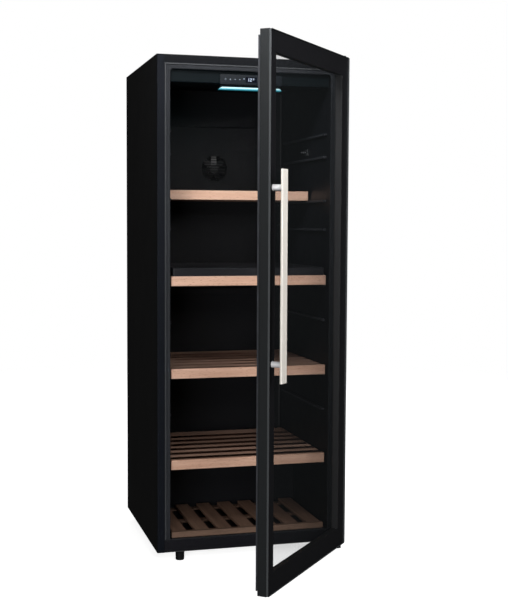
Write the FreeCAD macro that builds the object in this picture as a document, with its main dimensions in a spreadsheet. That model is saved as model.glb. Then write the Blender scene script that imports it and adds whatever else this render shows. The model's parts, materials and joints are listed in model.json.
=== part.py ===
import FreeCAD, Part
import math
import os
import re

import Sketcher

# Free-standing wine cooler with one glazed door, in millimetres.
# +X is to the right, the door is on the -Y side, +Z is up.
# The origin is on the floor, midway between the four levelling feet.
# The door stands open at door_angle; 0 is closed.

DIMENSIONS = {
    # cabinet
    "body_width": 670,
    "body_depth": 660,
    "body_bottom": 35,
    "body_top": 1755,
    "skin": 1.2,
    "flange_side": 25,
    "flange_top": 27,
    "base_sheet": 2,
    # cooled space
    "opening_half": 289,
    "ceiling": 1709,
    "floor_level": 79,
    "cavity_back": 270,
    "liner_wall": 1.6,
    "liner_front_gap": 3,
    "step_front": 90,
    "step_top": 305,
    # compressor bay
    "bay_front": 132,
    "bay_top": 268,
    # trim round the opening
    "collar_half": 308,
    "collar_top": 1726,
    "collar_proud": 1.5,
    "collar_thick": 3,
    "collar_lip": 1.8,
    "collar_corner": 10,
    "sill_bottom": 38,
    "sill_thick": 2.8,
    "sill_lip": 12,
    # shelves
    "shelf_half": 282,
    "shelf_inset": 20,
    "shelf_a_setback": 210,
    "shelf_back": 222,
    "rail_height": 34,
    "rail_thick": 20,
    "runner_thick": 18,
    "slat_thick": 10,
    "slat_width": 42,
    "slat_drop": 2,
    "shelf_a_top": 1303,
    "shelf_b_top": 999,
    "shelf_c_top": 676,
    "shelf_d_top": 355,
    "ledge_reach": 12,
    "ledge_height": 8,
    "ledge_gap": 0.3,
    "ledge_start": 45,
    "ledge_stop": 215,
    "tray_height": 28,
    "tray_wall": 3,
    "tray_inset": 6,
    "rack_pitch": 83,
    "rack_slat": 50,
    "rack_slat_thick": 12,
    "rack_board_thick": 8,
    "rack_board_width": 30,
    "rack_front": 22,
    "rack_back": 75,
    # control housing under the ceiling
    "housing_front": 18,
    "housing_depth": 122,
    "housing_bottom": 1664,
    "housing_wall": 2.5,
    "cover_half": 112,
    "cover_bottom": 1663,
    "cover_top": 1697,
    "cover_thick": 2.8,
    "window_half": 20,
    "window_thick": 0.6,
    "lamp_bottom": 1641,
    "lamp_top": 1660.7,
    "lamp_depth": 28,
    "lamp_slope": 8,
    "led_pitch": 24,
    "led_size": 5,
    # air side
    "duct_half": 200,
    "duct_bottom": 900,
    "duct_top": 1560,
    "duct_depth": 34,
    "duct_wall": 2,
    "fan_level": 1400,
    "fan_opening": 52,
    "fan_tip": 47,
    "fan_hub": 17,
    "fan_length": 11,
    "fan_blades": 7,
    "blade_thick": 1.8,
    "blade_half": 10,
    "fan_motor_radius": 22,
    "fan_motor_length": 14,
    "fan_shaft": 2,
    "fan_bore": 2.05,
    "coil_level": 960,
    "coil_height": 216,
    "coil_half": 150,
    "fin_pitch": 12,
    "fin_depth": 20,
    "evaporator_tube": 4,
    # refrigeration in the bay
    "compressor_x": -150,
    "compressor_y": 228,
    "compressor_radius": 80,
    "compressor_height": 160,
    "compressor_round": 30,
    "compressor_plate_x": 190,
    "compressor_plate_y": 120,
    "compressor_plate_thick": 3,
    "bush_height": 15,
    "bush_radius": 10,
    "condenser_y": 200,
    "condenser_bottom": 88,
    "condenser_pitch": 28,
    "condenser_start": 40,
    "condenser_stop": 278,
    "condenser_tube": 3,
    "drier_radius": 11,
    "drier_bottom": 110,
    "drier_length": 80,
    "tray_deep": 20,
    "inlet_x": -290,
    "inlet_z": 90,
    "inlet_width": 28,
    "inlet_height": 22,
    "vent_pitch": 36,
    "vent_width": 6,
    "vent_height": 70,
    "spacer_depth": 15,
    # levelling feet
    "foot_inset_x": 85,
    "foot_inset_y": 26,
    "foot_radius": 15,
    "foot_neck": 16.5,
    "foot_pad": 6,
    "foot_top": 34.7,
    "stem_radius": 5,
    "stem_top": 36.8,
    "stem_clearance": 0.3,
    # hinges
    "hinge_inset": 14,
    "hinge_forward": 24,
    "pin_radius": 5,
    "pin_clearance": 0.05,
    "bracket_sheet": 3,
    "bracket_back": 67,
    "bracket_left": 290,
    "bracket_lip": 9,
    "arm_reach": 34,
    "arm_half": 9,
    "top_arm": 1768,
    "bottom_arm": 26.5,
    "pin_length": 27,
    "bush_length": 18,
    "bush_flange": 9,
    "screw_radius": 5.5,
    "screw_head": 3.5,
    # door, measured from its hinge axis when it is closed
    "door_angle": 49.5,
    "door_bottom": 32,
    "door_top": 1765,
    "door_glass": 6,
    "door_frame": 31,
    "door_front": 21,
    "profile_wall": 2,
    "free_border": 44,
    "hinge_border": 46,
    "end_border": 58,
    "door_corner": 6,
    "seal_width": 11.5,
    "seal_thick": 7.7,
    "seal_bottom": 46,
    "seal_top": 1748,
    "spacer_width": 6,
    "glazing_gap": 0.5,
    "inner_pane_front": 10,
    "inner_pane": 4,
    # door handle
    "bar_width": 38,
    "bar_thick": 7,
    "bar_bottom": 697,
    "bar_top": 1347,
    "bar_inset": 1,
    "bar_round": 1.2,
    "post_radius": 10,
    "post_length": 34,
    "post_low": 754,
    "post_high": 1292,
}

LEFT = "-body_width / 2"
RIGHT = "body_width / 2"
FRONT = "-body_depth / 2"
BACK = "body_depth / 2"
INNER_FRONT = "-body_depth / 2 + liner_front_gap"
HINGE_X = "body_width / 2 - hinge_inset"
HINGE_Y = "-body_depth / 2 - hinge_forward"
SHELF_FRONT = "-body_depth / 2 + shelf_inset"
DOOR_FREE = "hinge_inset - body_width"
DOOR_BACK = "door_frame + door_glass - door_front"
FRAME_FRONT = "door_glass - door_front"
SLATS_PER_SHELF = 7
SHELF_NAMES = ["a", "b", "c", "d"]
SPARE_LEDGES = [1505, 1425, 1166, 840, 515]
CONDENSER_RUNS = 6
TINY = 1e-6

doc = FreeCAD.newDocument("wine_cooler")
sheet = doc.addObject("Spreadsheet::Sheet", "dims")
for row, (word, number) in enumerate(DIMENSIONS.items(), start=1):
    sheet.set(f"A{row}", word)
    sheet.set(f"B{row}", str(number))
    sheet.setAlias(f"B{row}", word)
doc.recompute()

sub_parts = []


# ---- helpers -------------------------------------------------------------


def linked(formula):
    """The formula with each dimension's name pointing at its cell in the sheet."""
    return re.sub(
        r"[a-z_]+[a-z0-9_]*",
        lambda word: "dims." + word.group() if word.group() in DIMENSIONS else word.group(),
        str(formula),
    )


def value(formula):
    """What a formula comes to with the sheet's present numbers."""
    return float(sheet.evalExpression(str(formula)))


def bind(thing, **formulas):
    """Bind properties of an object to formulas; a double underscore stands for a dot."""
    for name, formula in formulas.items():
        thing.setExpression(name.replace("__", "."), linked(formula))
    return thing


def place(thing, x="0", y="0", z="0"):
    """Put an object's origin at a point given by three formulas."""
    return bind(thing, Placement__Base__x=x, Placement__Base__y=y, Placement__Base__z=z)


def hang_on_door(thing):
    """Move a piece from the closed door's own axes to the open door."""
    thing.Placement = FreeCAD.Placement(
        FreeCAD.Vector(),
        FreeCAD.Rotation(FreeCAD.Vector(0, 0, 1), value("door_angle")),
    )
    place(thing, HINGE_X, HINGE_Y)
    return bind(thing, Placement__Rotation__Angle="door_angle")


def sub_part(name, thing):
    """Name a finished piece and keep it for the export."""
    thing.Label = name
    sub_parts.append(thing)
    return thing


def block(name, low, high):
    """A box between two corners, each of three formulas."""
    box = doc.addObject("Part::Box", name)
    for side, start, stop in zip(("Length", "Width", "Height"), low, high):
        box.setExpression(side, linked(f"({stop}) - ({start})"))
    return place(box, *low)


def rod(name, radius, length, x="0", y="0", z="0", along="z"):
    """A round bar from a point, along +X, -Y or +Z."""
    bar = doc.addObject("Part::Cylinder", name)
    turns = {
        "x": FreeCAD.Rotation(FreeCAD.Vector(0, 1, 0), 90),
        "y": FreeCAD.Rotation(FreeCAD.Vector(1, 0, 0), 90),
        "z": FreeCAD.Rotation(),
    }
    bar.Placement = FreeCAD.Placement(FreeCAD.Vector(), turns[along])
    bind(bar, Radius=radius, Height=length)
    return place(bar, x, y, z)


def group(name, pieces):
    """Separate solids kept together in one node."""
    compound = doc.addObject("Part::Compound", name)
    compound.Links = pieces
    return compound


def joined(name, pieces):
    """Shapes fused into one solid."""
    fusion = doc.addObject("Part::MultiFuse", name)
    fusion.Shapes = pieces
    return fusion


def without(name, base, tools):
    """A shape with others cut away from it."""
    cut = doc.addObject("Part::Cut", name)
    cut.Base = base
    cut.Tool = group(name + "_tools", tools) if len(tools) > 1 else tools[0]
    return cut


def new_body(name):
    return doc.addObject("PartDesign::Body", name)


def origin_feature(body, role):
    return next(f for f in body.Origin.OriginFeatures if f.Role == role)


def new_sketch(body, plane, start="0"):
    """A sketch on one of the body's origin planes, moved along that plane's normal."""
    sketch = body.newObject("Sketcher::SketchObject", body.Name + "_sketch")
    sketch.AttachmentSupport = [(origin_feature(body, plane), "")]
    sketch.MapMode = "FlatFace"
    sketch.setExpression("AttachmentOffset.Base.z", linked(start))
    return sketch


def pin_point(sketch, edge, end, across, along):
    """Hold one end of an edge at two coordinates taken from the sheet."""
    for kind, formula in (("DistanceX", across), ("DistanceY", along)):
        index = sketch.addConstraint(
            Sketcher.Constraint(kind, -1, 1, edge, end, value(formula))
        )
        sketch.setExpression(f"Constraints[{index}]", linked(formula))


def outline(sketch, corners, closed=True):
    """Straight edges through corners, each given by two formulas."""
    spots = [FreeCAD.Vector(value(a), value(b), 0) for a, b in corners]
    count = len(corners) if closed else len(corners) - 1
    first = sketch.GeometryCount
    for i in range(count):
        sketch.addGeometry(Part.LineSegment(spots[i], spots[(i + 1) % len(spots)]))
    for i in range(count):
        pin_point(sketch, first + i, 1, *corners[i])
        if i + 1 < count:
            sketch.addConstraint(
                Sketcher.Constraint("Coincident", first + i, 2, first + i + 1, 1)
            )
    if closed:
        sketch.addConstraint(
            Sketcher.Constraint("Coincident", first + count - 1, 2, first, 1)
        )
    else:
        pin_point(sketch, first + count - 1, 2, *corners[-1])


def rectangle(sketch, low, high):
    """A rectangle between two corners."""
    (a, b), (c, d) = low, high
    outline(sketch, [(a, b), (c, b), (c, d), (a, d)])


def circle(sketch, radius, across="0", along="0"):
    """A circle held at its centre and radius."""
    spot = FreeCAD.Vector(value(across), value(along), 0)
    index = sketch.addGeometry(
        Part.Circle(spot, FreeCAD.Vector(0, 0, 1), value(radius))
    )
    pin_point(sketch, index, 3, across, along)
    held = sketch.addConstraint(Sketcher.Constraint("Radius", index, value(radius)))
    sketch.setExpression(f"Constraints[{held}]", linked(radius))


def pad(body, sketch, length, midplane=False):
    """Extrude a sketch along its plane's normal, or half each way."""
    feature = body.newObject("PartDesign::Pad", body.Name + "_pad")
    feature.Profile = sketch
    feature.Midplane = midplane
    feature.setExpression("Length", linked(length))
    doc.recompute()
    return feature


def pocket(body, sketch, length):
    """Cut a sketch out of the body, half its length each way."""
    before = body.Tip.Shape.Volume
    feature = body.newObject("PartDesign::Pocket", body.Name + "_pocket")
    feature.Profile = sketch
    feature.Midplane = True
    feature.setExpression("Length", linked(length))
    doc.recompute()
    if feature.Shape.Volume > before - 1:
        raise RuntimeError(f"{body.Name}: the pocket cuts nothing")
    return feature


def revolve(body, sketch):
    """A full turn of a sketch about the body's Z axis."""
    feature = body.newObject("PartDesign::Revolution", body.Name + "_turned")
    feature.Profile = sketch
    feature.ReferenceAxis = (origin_feature(body, "Z_Axis"), [""])
    feature.Angle = 360
    doc.recompute()
    return feature


def round_edges(body, radius, wanted):
    """Round every edge of the body whose two ends pass the test."""
    base = body.Tip
    names = [
        f"Edge{i}"
        for i, edge in enumerate(base.Shape.Edges, start=1)
        if len(edge.Vertexes) and wanted(edge)
    ]
    fillet = body.newObject("PartDesign::Fillet", body.Name + "_round")
    fillet.Base = (base, names)
    fillet.setExpression("Radius", linked(radius))
    doc.recompute()
    return fillet


def runs_along(edge, axis):
    """True for a straight edge parallel to axis 0, 1 or 2."""
    ends = [v.Point for v in edge.Vertexes]
    if len(ends) != 2:
        return False
    step = ends[1] - ends[0]
    return step.Length > TINY and abs(abs(step[axis]) - step.Length) < TINY


def extruded(name, plane, start, length, shapes, midplane=False):
    """A body with one pad; shapes is a list of rectangles and outlines."""
    body = new_body(name)
    sketch = new_sketch(body, plane, start)
    for corners in shapes:
        outline(sketch, corners)
    pad(body, sketch, length, midplane)
    return body


def corners_of(low, high):
    """The four corners of a rectangle."""
    (a, b), (c, d) = low, high
    return [(a, b), (c, b), (c, d), (a, d)]


def tube(name, plane, offset, path, radius):
    """A bent pipe: a round section swept along straight runs in one plane.

    The first run is along Z, or along X when the plane is XZ and the run is level.
    """
    body = new_body(name)
    spine = new_sketch(body, plane, offset)
    outline(spine, path, closed=False)
    (a, b), (c, _) = path[0], path[1]
    level = abs(value(a) - value(c)) > TINY
    if level:
        section = new_sketch(body, "YZ_Plane", a)
        circle(section, radius, f"-({offset})", b)
    else:
        section = new_sketch(body, "XY_Plane", b)
        if plane == "XZ_Plane":
            circle(section, radius, a, f"-({offset})")
        else:
            circle(section, radius, offset, a)
    doc.recompute()
    sweep = body.newObject("PartDesign::AdditivePipe", name + "_sweep")
    sweep.Profile = section
    sweep.Spine = (spine, [f"Edge{i}" for i in range(1, len(path))])
    sweep.Transition = "Round corner"
    doc.recompute()
    return body


def serpentine(name, runs, pitch, start, stop, y, z, radius):
    """Level tubes one above another, joined by half-ring bends at their ends."""
    pieces = []
    for i in range(runs):
        pieces.append(
            rod(
                f"{name}_run_{i}",
                radius,
                f"({stop}) - ({start})",
                start,
                y,
                f"{z} + {i} * {pitch}",
                along="x",
            )
        )
    upright = FreeCAD.Rotation(FreeCAD.Vector(1, 0, 0), 90)
    for i in range(runs - 1):
        outward, end = ((-90, stop), (90, start))[i % 2]
        bend = doc.addObject("Part::Torus", f"{name}_bend_{i}")
        bend.Angle3 = 180
        turn = FreeCAD.Rotation(FreeCAD.Vector(0, 0, 1), outward)
        bend.Placement = FreeCAD.Placement(FreeCAD.Vector(), upright * turn)
        bind(bend, Radius1=f"({pitch}) / 2", Radius2=radius)
        place(bend, end, y, f"{z} + ({i} + 0.5) * {pitch}")
        pieces.append(bend)
    return pieces


# ---- cabinet shell ---------------------------------------------------------


def make_side_panel(name, sign):
    """Folded steel side with a front return; sign is -1 on the left."""
    corners = [
        (f"{sign} * body_width / 2", FRONT),
        (f"{sign} * (body_width / 2 - flange_side)", FRONT),
        (f"{sign} * (body_width / 2 - flange_side)", f"{FRONT} + skin"),
        (f"{sign} * (body_width / 2 - skin)", f"{FRONT} + skin"),
        (f"{sign} * (body_width / 2 - skin)", BACK),
        (f"{sign} * body_width / 2", BACK),
    ]
    length = "body_top - skin - body_bottom"
    sub_part(name, extruded(name, "XY_Plane", "body_bottom", length, [corners]))


def make_top_panel():
    lid = block(
        "top_sheet", (LEFT, FRONT, "body_top - skin"), (RIGHT, BACK, "body_top")
    )
    flange = block(
        "top_return",
        ("-body_width / 2 + flange_side", FRONT, "body_top - flange_top"),
        ("body_width / 2 - flange_side", f"{FRONT} + skin", "body_top - skin"),
    )
    sub_part("top_panel", joined("top_panel", [lid, flange]))


def make_back_panel():
    panel = block(
        "back_sheet",
        ("-body_width / 2 + skin", f"{BACK} - skin", "bay_top"),
        ("body_width / 2 - skin", BACK, "body_top - skin"),
    )
    sub_part("back_panel", group("back_panel", [panel]))


def foot_places():
    """The four corners of the base, as sign pairs with their names."""
    return [
        ("front_left", -1, -1),
        ("front_right", 1, -1),
        ("rear_left", -1, 1),
        ("rear_right", 1, 1),
    ]


def foot_x(sign):
    return f"{sign} * (body_width / 2 - foot_inset_x)"


def foot_y(sign):
    return f"{sign} * (body_depth / 2 - foot_inset_y)"


def make_base_pan():
    pan = block(
        "pan_sheet",
        ("-body_width / 2 + skin", f"{FRONT} + skin", "body_bottom"),
        ("body_width / 2 - skin", f"{BACK} - skin", "body_bottom + base_sheet"),
    )
    holes = [
        rod(
            f"pan_hole_{name}",
            "stem_radius + stem_clearance",
            "base_sheet * 3",
            foot_x(across),
            foot_y(along),
            "body_bottom - base_sheet",
        )
        for name, across, along in foot_places()
    ]
    sub_part("base_pan", without("base_pan", pan, holes))


def cavity_corners(wall):
    """Side view of the cooled space, with the step over the compressor bay."""
    front = f"{INNER_FRONT} - {10 if wall == '0' else 0}"
    return [
        (front, f"floor_level - {wall}"),
        (f"step_front + {wall}", f"floor_level - {wall}"),
        (f"step_front + {wall}", f"step_top - {wall}"),
        (f"cavity_back + {wall}", f"step_top - {wall}"),
        (f"cavity_back + {wall}", f"ceiling + {wall}"),
        (front, f"ceiling + {wall}"),
    ]


def make_inner_liner():
    body = new_body("inner_liner")
    outside = new_sketch(body, "YZ_Plane")
    outline(outside, cavity_corners("liner_wall"))
    pad(body, outside, "2 * (opening_half + liner_wall)", midplane=True)
    inside = new_sketch(body, "YZ_Plane")
    outline(inside, cavity_corners("0"))
    pocket(body, inside, "2 * opening_half")
    sub_part("inner_liner", body)


def make_insulation_foam():
    body = new_body("insulation_foam")
    outside = new_sketch(body, "YZ_Plane")
    low = (INNER_FRONT, "body_bottom + base_sheet")
    rectangle(outside, low, (f"{BACK} - skin", "body_top - skin"))
    pad(body, outside, "body_width - 2 * skin", midplane=True)
    hollow = new_sketch(body, "YZ_Plane")
    outline(hollow, cavity_corners("liner_wall"))
    pocket(body, hollow, "2 * (opening_half + liner_wall)")
    bay = new_sketch(body, "YZ_Plane")
    rectangle(bay, ("bay_front", "body_bottom"), (BACK, "bay_top"))
    pocket(body, bay, "body_width")
    sub_part("insulation_foam", body)


def collar_corners(half, top, bottom):
    """An arch of trim: two legs and a head round the opening."""
    return [
        (f"-({half})", bottom),
        ("-opening_half", bottom),
        ("-opening_half", "ceiling"),
        ("opening_half", "ceiling"),
        ("opening_half", bottom),
        (half, bottom),
        (half, top),
        (f"-({half})", top),
    ]


def make_opening_collar():
    """Plastic trim round the opening, with a thin lip in the groove beside the flange."""
    bottom = "floor_level + 2.3"

    def inner_corner(edge):
        spot = edge.Vertexes[0].Point
        at_side = abs(abs(spot.x) - value("opening_half")) < TINY
        return runs_along(edge, 1) and at_side and abs(spot.z - value("ceiling")) < TINY

    lip = extruded(
        "collar_lip",
        "XZ_Plane",
        "body_depth / 2 - liner_front_gap",
        "liner_front_gap + collar_proud - collar_thick",
        [collar_corners("collar_half + collar_lip", "collar_top + collar_lip", bottom)],
    )
    face = extruded(
        "collar_face",
        "XZ_Plane",
        "body_depth / 2 + collar_proud - collar_thick",
        "collar_thick",
        [collar_corners("collar_half", "collar_top", bottom)],
    )
    for layer in (lip, face):
        round_edges(layer, "collar_corner", inner_corner)
    sub_part("opening_collar", joined("opening_collar", [lip, face]))


def make_bottom_sill():
    """Front of the base with a lip that covers the edge of the liner's floor."""
    plate = block(
        "sill_plate",
        ("-collar_half - collar_lip", FRONT, "sill_bottom"),
        ("collar_half + collar_lip", f"{FRONT} + sill_thick", "floor_level + 2"),
    )
    lip = block(
        "sill_nose",
        ("-opening_half + 0.5", FRONT, "floor_level + 0.2"),
        ("opening_half - 0.5", f"{FRONT} + sill_lip", "floor_level + 2"),
    )
    sub_part("bottom_sill", joined("bottom_sill", [plate, lip]))


# ---- shelves ---------------------------------------------------------------


def make_shelf_supports():
    """Ledges on both side walls: one pair under each shelf and one pair spare between."""
    tops = [f"shelf_{name}_top - rail_height - ledge_gap" for name in SHELF_NAMES]
    tops += [str(height) for height in SPARE_LEDGES]
    ledges = []
    for i, top in enumerate(tops):
        for side, near, far in (
            ("left", "-opening_half", "-opening_half + ledge_reach"),
            ("right", "opening_half - ledge_reach", "opening_half"),
        ):
            ledges.append(
                block(
                    f"ledge_{side}_{i}",
                    (near, f"{FRONT} + ledge_start", f"{top} - ledge_height"),
                    (far, "ledge_stop", top),
                )
            )
    sub_part("shelf_supports", group("shelf_supports", ledges))


def shelf_start(name):
    """The front of a shelf; the top shelf stands further back."""
    return f"{SHELF_FRONT} + shelf_a_setback" if name == "a" else SHELF_FRONT


def make_shelf_front(name):
    """Wooden front rail with eased long edges."""
    node = f"shelf_{name}_front"
    start = shelf_start(name)
    top = f"shelf_{name}_top"
    corners = corners_of(
        (start, f"{top} - rail_height"), (f"{start} + rail_thick", top)
    )
    body = extruded(node, "YZ_Plane", "0", "2 * shelf_half", [corners], midplane=True)
    face = value(start)

    def front_edge(edge):
        return runs_along(edge, 0) and abs(edge.Vertexes[0].Point.y - face) < TINY

    round_edges(body, "3", front_edge)
    sub_part(node, body)


def make_shelf_deck(name):
    """Two side runners, a back board and cross slats that carry the bottles."""
    node = f"shelf_{name}_deck"
    start = f"{shelf_start(name)} + rail_thick"
    top = f"shelf_{name}_top"
    slat_top = f"{top} - slat_drop"
    slat_low = f"{top} - slat_drop - slat_thick"
    low = f"{top} - rail_height"
    pieces = [
        block(
            f"{node}_runner_left",
            ("-shelf_half", start, low),
            ("-shelf_half + runner_thick", "shelf_back - runner_thick", slat_low),
        ),
        block(
            f"{node}_runner_right",
            ("shelf_half - runner_thick", start, low),
            ("shelf_half", "shelf_back - runner_thick", slat_low),
        ),
        block(
            f"{node}_back_board",
            ("-shelf_half", "shelf_back - runner_thick", low),
            ("shelf_half", "shelf_back", slat_low),
        ),
    ]
    first = f"({start} + 4)"
    last = "(shelf_back - slat_width)"
    for i in range(SLATS_PER_SHELF):
        near = f"{first} + ({last} - {first}) * {i} / {SLATS_PER_SHELF - 1}"
        pieces.append(
            block(
                f"{node}_slat_{i}",
                ("-shelf_half", near, slat_low),
                ("shelf_half", f"{near} + slat_width", slat_top),
            )
        )
    sub_part(node, group(node, pieces))


def make_display_tray():
    """Black raised deck on the second shelf, open underneath."""
    low = "shelf_b_top"
    high = "shelf_b_top + tray_height"
    outside = block(
        "tray_outside",
        ("-shelf_half + tray_inset", f"{SHELF_FRONT} + 2", low),
        ("shelf_half - tray_inset", "shelf_back - tray_inset", high),
    )
    inside = block(
        "tray_inside",
        (
            "-shelf_half + tray_inset + tray_wall",
            f"{SHELF_FRONT} + 2 + tray_wall",
            f"{low} - 1",
        ),
        (
            "shelf_half - tray_inset - tray_wall",
            "shelf_back - tray_inset - tray_wall",
            f"{high} - tray_wall",
        ),
    )
    sub_part("display_tray", without("display_tray", outside, [inside]))


def make_floor_rack():
    """Slats that run front to back on two cross boards, behind a full-height front board."""
    front = f"{FRONT} + rack_front"
    low = "floor_level + 0.3"
    middle = f"{low} + rack_board_thick"
    top = f"{middle} + rack_slat_thick"
    start = f"{front} + rail_thick"
    pieces = [
        block(
            "rack_front_board",
            ("-shelf_half + 2", front, low),
            ("shelf_half - 2", start, top),
        )
    ]
    for i in (1, 2):
        near = f"{start} + (rack_back - rack_board_width - ({start})) * {i} / 2"
        pieces.append(
            block(
                f"rack_board_{i}",
                ("-shelf_half + 2", near, low),
                ("shelf_half - 2", f"{near} + rack_board_width", middle),
            )
        )
    for i in range(-3, 4):
        centre = f"{i} * rack_pitch"
        pieces.append(
            block(
                f"rack_slat_{i + 3}",
                (f"{centre} - rack_slat / 2", start, middle),
                (f"{centre} + rack_slat / 2", "rack_back", top),
            )
        )
    sub_part("floor_rack", group("floor_rack", pieces))


# ---- control housing and lamp ----------------------------------------------


def make_control_housing():
    """Shallow tray under the ceiling, open upwards."""
    front = f"{FRONT} + housing_front"
    half = "opening_half - 2"
    high = "ceiling - 0.3"
    outside = block(
        "housing_outside",
        (f"-({half})", front, "housing_bottom"),
        (half, f"{front} + housing_depth", high),
    )
    inside = block(
        "housing_inside",
        (
            f"-({half}) + housing_wall",
            f"{front} + housing_wall",
            "housing_bottom + housing_wall",
        ),
        (
            f"{half} - housing_wall",
            f"{front} + housing_depth - housing_wall",
            f"{high} + 1",
        ),
    )
    sub_part("control_housing", without("control_housing", outside, [inside]))


def make_control_panel_cover():
    """Touch panel with rounded corners, on the housing's front."""
    start = "body_depth / 2 - housing_front"
    corners = corners_of(("-cover_half", "cover_bottom"), ("cover_half", "cover_top"))
    body = extruded("control_panel_cover", "XZ_Plane", start, "cover_thick", [corners])
    round_edges(body, "4", lambda edge: runs_along(edge, 1))
    sub_part("control_panel_cover", body)


def make_display_window():
    face = f"{FRONT} + housing_front - cover_thick"
    middle = "(cover_bottom + cover_top) / 2"
    pane = block(
        "display_pane",
        ("-window_half", f"{face} - window_thick", f"{middle} - 9"),
        ("window_half", face, f"{middle} + 9"),
    )
    sub_part("display_window", group("display_window", [pane]))


def make_control_board():
    """Circuit board behind the panel with its larger components."""
    face = f"{FRONT} + housing_front + housing_wall + 1"
    low = "housing_bottom + housing_wall + 1"
    board = block(
        "board_sheet", ("-cover_half", face, low), ("cover_half", f"{face} + 1.6", "cover_top")
    )
    pieces = [board]
    for i, (across, width, deep) in enumerate(((-70, 30, 14), (-20, 16, 9), (50, 40, 18))):
        pieces.append(
            block(
                f"board_component_{i}",
                (str(across), f"{face} + 1.6", f"{low} + 4"),
                (str(across + width), f"{face} + 1.6 + {deep}", f"{low} + 22"),
            )
        )
    sub_part("control_board", group("control_board", pieces))


def make_light_strip():
    """Lamp board under the housing with a row of small diodes."""
    front = f"{FRONT} + housing_front + lamp_slope + 2"
    board = block(
        "lamp_board",
        ("-cover_half + 4", front, "housing_bottom - 1.6"),
        ("cover_half - 4", f"{front} + 12", "housing_bottom"),
    )
    pieces = [board]
    for i in range(-4, 5):
        pieces.append(
            block(
                f"lamp_diode_{i + 4}",
                (f"{i} * led_pitch - led_size / 2", f"{front} + 3", "housing_bottom - 2.8"),
                (
                    f"{i} * led_pitch + led_size / 2",
                    f"{front} + 3 + led_size",
                    "housing_bottom - 1.6",
                ),
            )
        )
    sub_part("light_strip", joined("light_strip", pieces))


def make_light_diffuser():
    """Opal bar with a sloping front, hung from the housing by its back leg."""
    near = f"{FRONT} + housing_front + 1"
    far = f"{near} + lamp_depth"
    corners = [
        (near, "lamp_top"),
        (f"{near} + lamp_slope", "lamp_bottom"),
        (far, "lamp_bottom"),
        (far, "housing_bottom"),
        (f"{far} - 3", "housing_bottom"),
        (f"{far} - 3", "lamp_top"),
    ]
    body = extruded(
        "light_diffuser", "YZ_Plane", "0", "2 * cover_half", [corners], midplane=True
    )
    sub_part("light_diffuser", body)


def make_temperature_probe():
    """Small sensor on the right-hand wall."""
    base = block(
        "probe_base", ("opening_half - 5", "-75", "1438"), ("opening_half", "-45", "1462")
    )
    stem = rod("probe_stem", "4", "19", "opening_half - 23", "-60", "1450", along="x")
    sub_part("temperature_probe", joined("temperature_probe", [base, stem]))


# ---- cold air side -----------------------------------------------------------


def make_evaporator_cover():
    """Duct cover on the back wall with a round fan grille above and intake slots below."""
    back = "cavity_back - 0.3"
    front = "cavity_back - duct_depth"
    outside = block(
        "duct_outside", ("-duct_half", front, "duct_bottom"), ("duct_half", back, "duct_top")
    )
    tools = [
        block(
            "duct_inside",
            ("-duct_half + duct_wall", f"{front} + duct_wall", "duct_bottom + duct_wall"),
            ("duct_half - duct_wall", f"{back} + 1", "duct_top - duct_wall"),
        )
    ]
    bars, pitch, slot = 10, 10, 6
    for i in range(bars):
        level = (i - (bars - 1) / 2) * pitch
        chord = f"sqrt(fan_opening ^ 2 - {abs(level) + slot / 2} ^ 2)"
        if value("fan_opening") > abs(level) + slot / 2 + 1:
            tools.append(
                block(
                    f"fan_slot_{i}",
                    (f"-{chord}", f"{front} - 1", f"fan_level + ({level}) - {slot} / 2"),
                    (chord, f"{front} + duct_wall", f"fan_level + ({level}) + {slot} / 2"),
                )
            )
    for i in range(8):
        low = f"duct_bottom + 24 + {i} * 12"
        tools.append(
            block(
                f"intake_slot_{i}",
                ("-duct_half + 40", f"{front} - 1", low),
                ("duct_half - 40", f"{front} + duct_wall", f"{low} + 5"),
            )
        )
    sub_part("evaporator_cover", without("evaporator_cover", outside, tools))


def make_evaporator_coil():
    """Finned tube behind the duct cover."""
    middle = "cavity_back - 4 - fin_depth / 2"
    pieces = serpentine(
        "evaporator",
        6,
        "coil_height / 6",
        "-coil_half",
        "coil_half",
        middle,
        "coil_level + coil_height / 12",
        "evaporator_tube",
    )
    fins = 24
    for i in range(fins + 1):
        across = f"({i} - {fins} / 2) * fin_pitch"
        pieces.append(
            block(
                f"fin_{i}",
                (f"{across} - 0.4", f"{middle} - fin_depth / 2", "coil_level"),
                (f"{across} + 0.4", f"{middle} + fin_depth / 2", "coil_level + coil_height"),
            )
        )
    sub_part("evaporator_coil", joined("evaporator_coil", pieces))


def make_fan_motor():
    case = rod(
        "motor_case",
        "fan_motor_radius",
        "fan_motor_length",
        y="cavity_back",
        z="fan_level",
        along="y",
    )
    shaft = rod(
        "motor_shaft",
        "fan_shaft",
        "fan_motor_length + fan_length + 1",
        y="cavity_back",
        z="fan_level",
        along="y",
    )
    sub_part("fan_motor", joined("fan_motor", [case, shaft]))


def make_fan_impeller():
    """Hub and pitched blades that turn on the motor's shaft."""
    body = new_body("fan_impeller")
    hub = new_sketch(body, "XZ_Plane")
    circle(hub, "fan_hub")
    circle(hub, "fan_bore")
    pad(body, hub, "fan_length")
    blade = new_sketch(body, "XY_Plane", "fan_hub - 1")
    near = "-fan_length + 1"
    outline(
        blade,
        [
            ("-blade_half", "-1 - blade_thick"),
            ("blade_half", near),
            ("blade_half", f"{near} + blade_thick"),
            ("-blade_half", "-1"),
        ],
    )
    swept = pad(body, blade, "fan_tip - fan_hub + 1")
    pattern = body.newObject("PartDesign::PolarPattern", "fan_impeller_pattern")
    pattern.Originals = [swept]
    pattern.Axis = (origin_feature(body, "Y_Axis"), [""])
    pattern.Angle = 360
    pattern.setExpression("Occurrences", linked("fan_blades"))
    body.Tip = pattern
    place(body, "0", "cavity_back - fan_motor_length - 0.6", "fan_level")
    doc.recompute()
    sub_part("fan_impeller", body)


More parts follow.
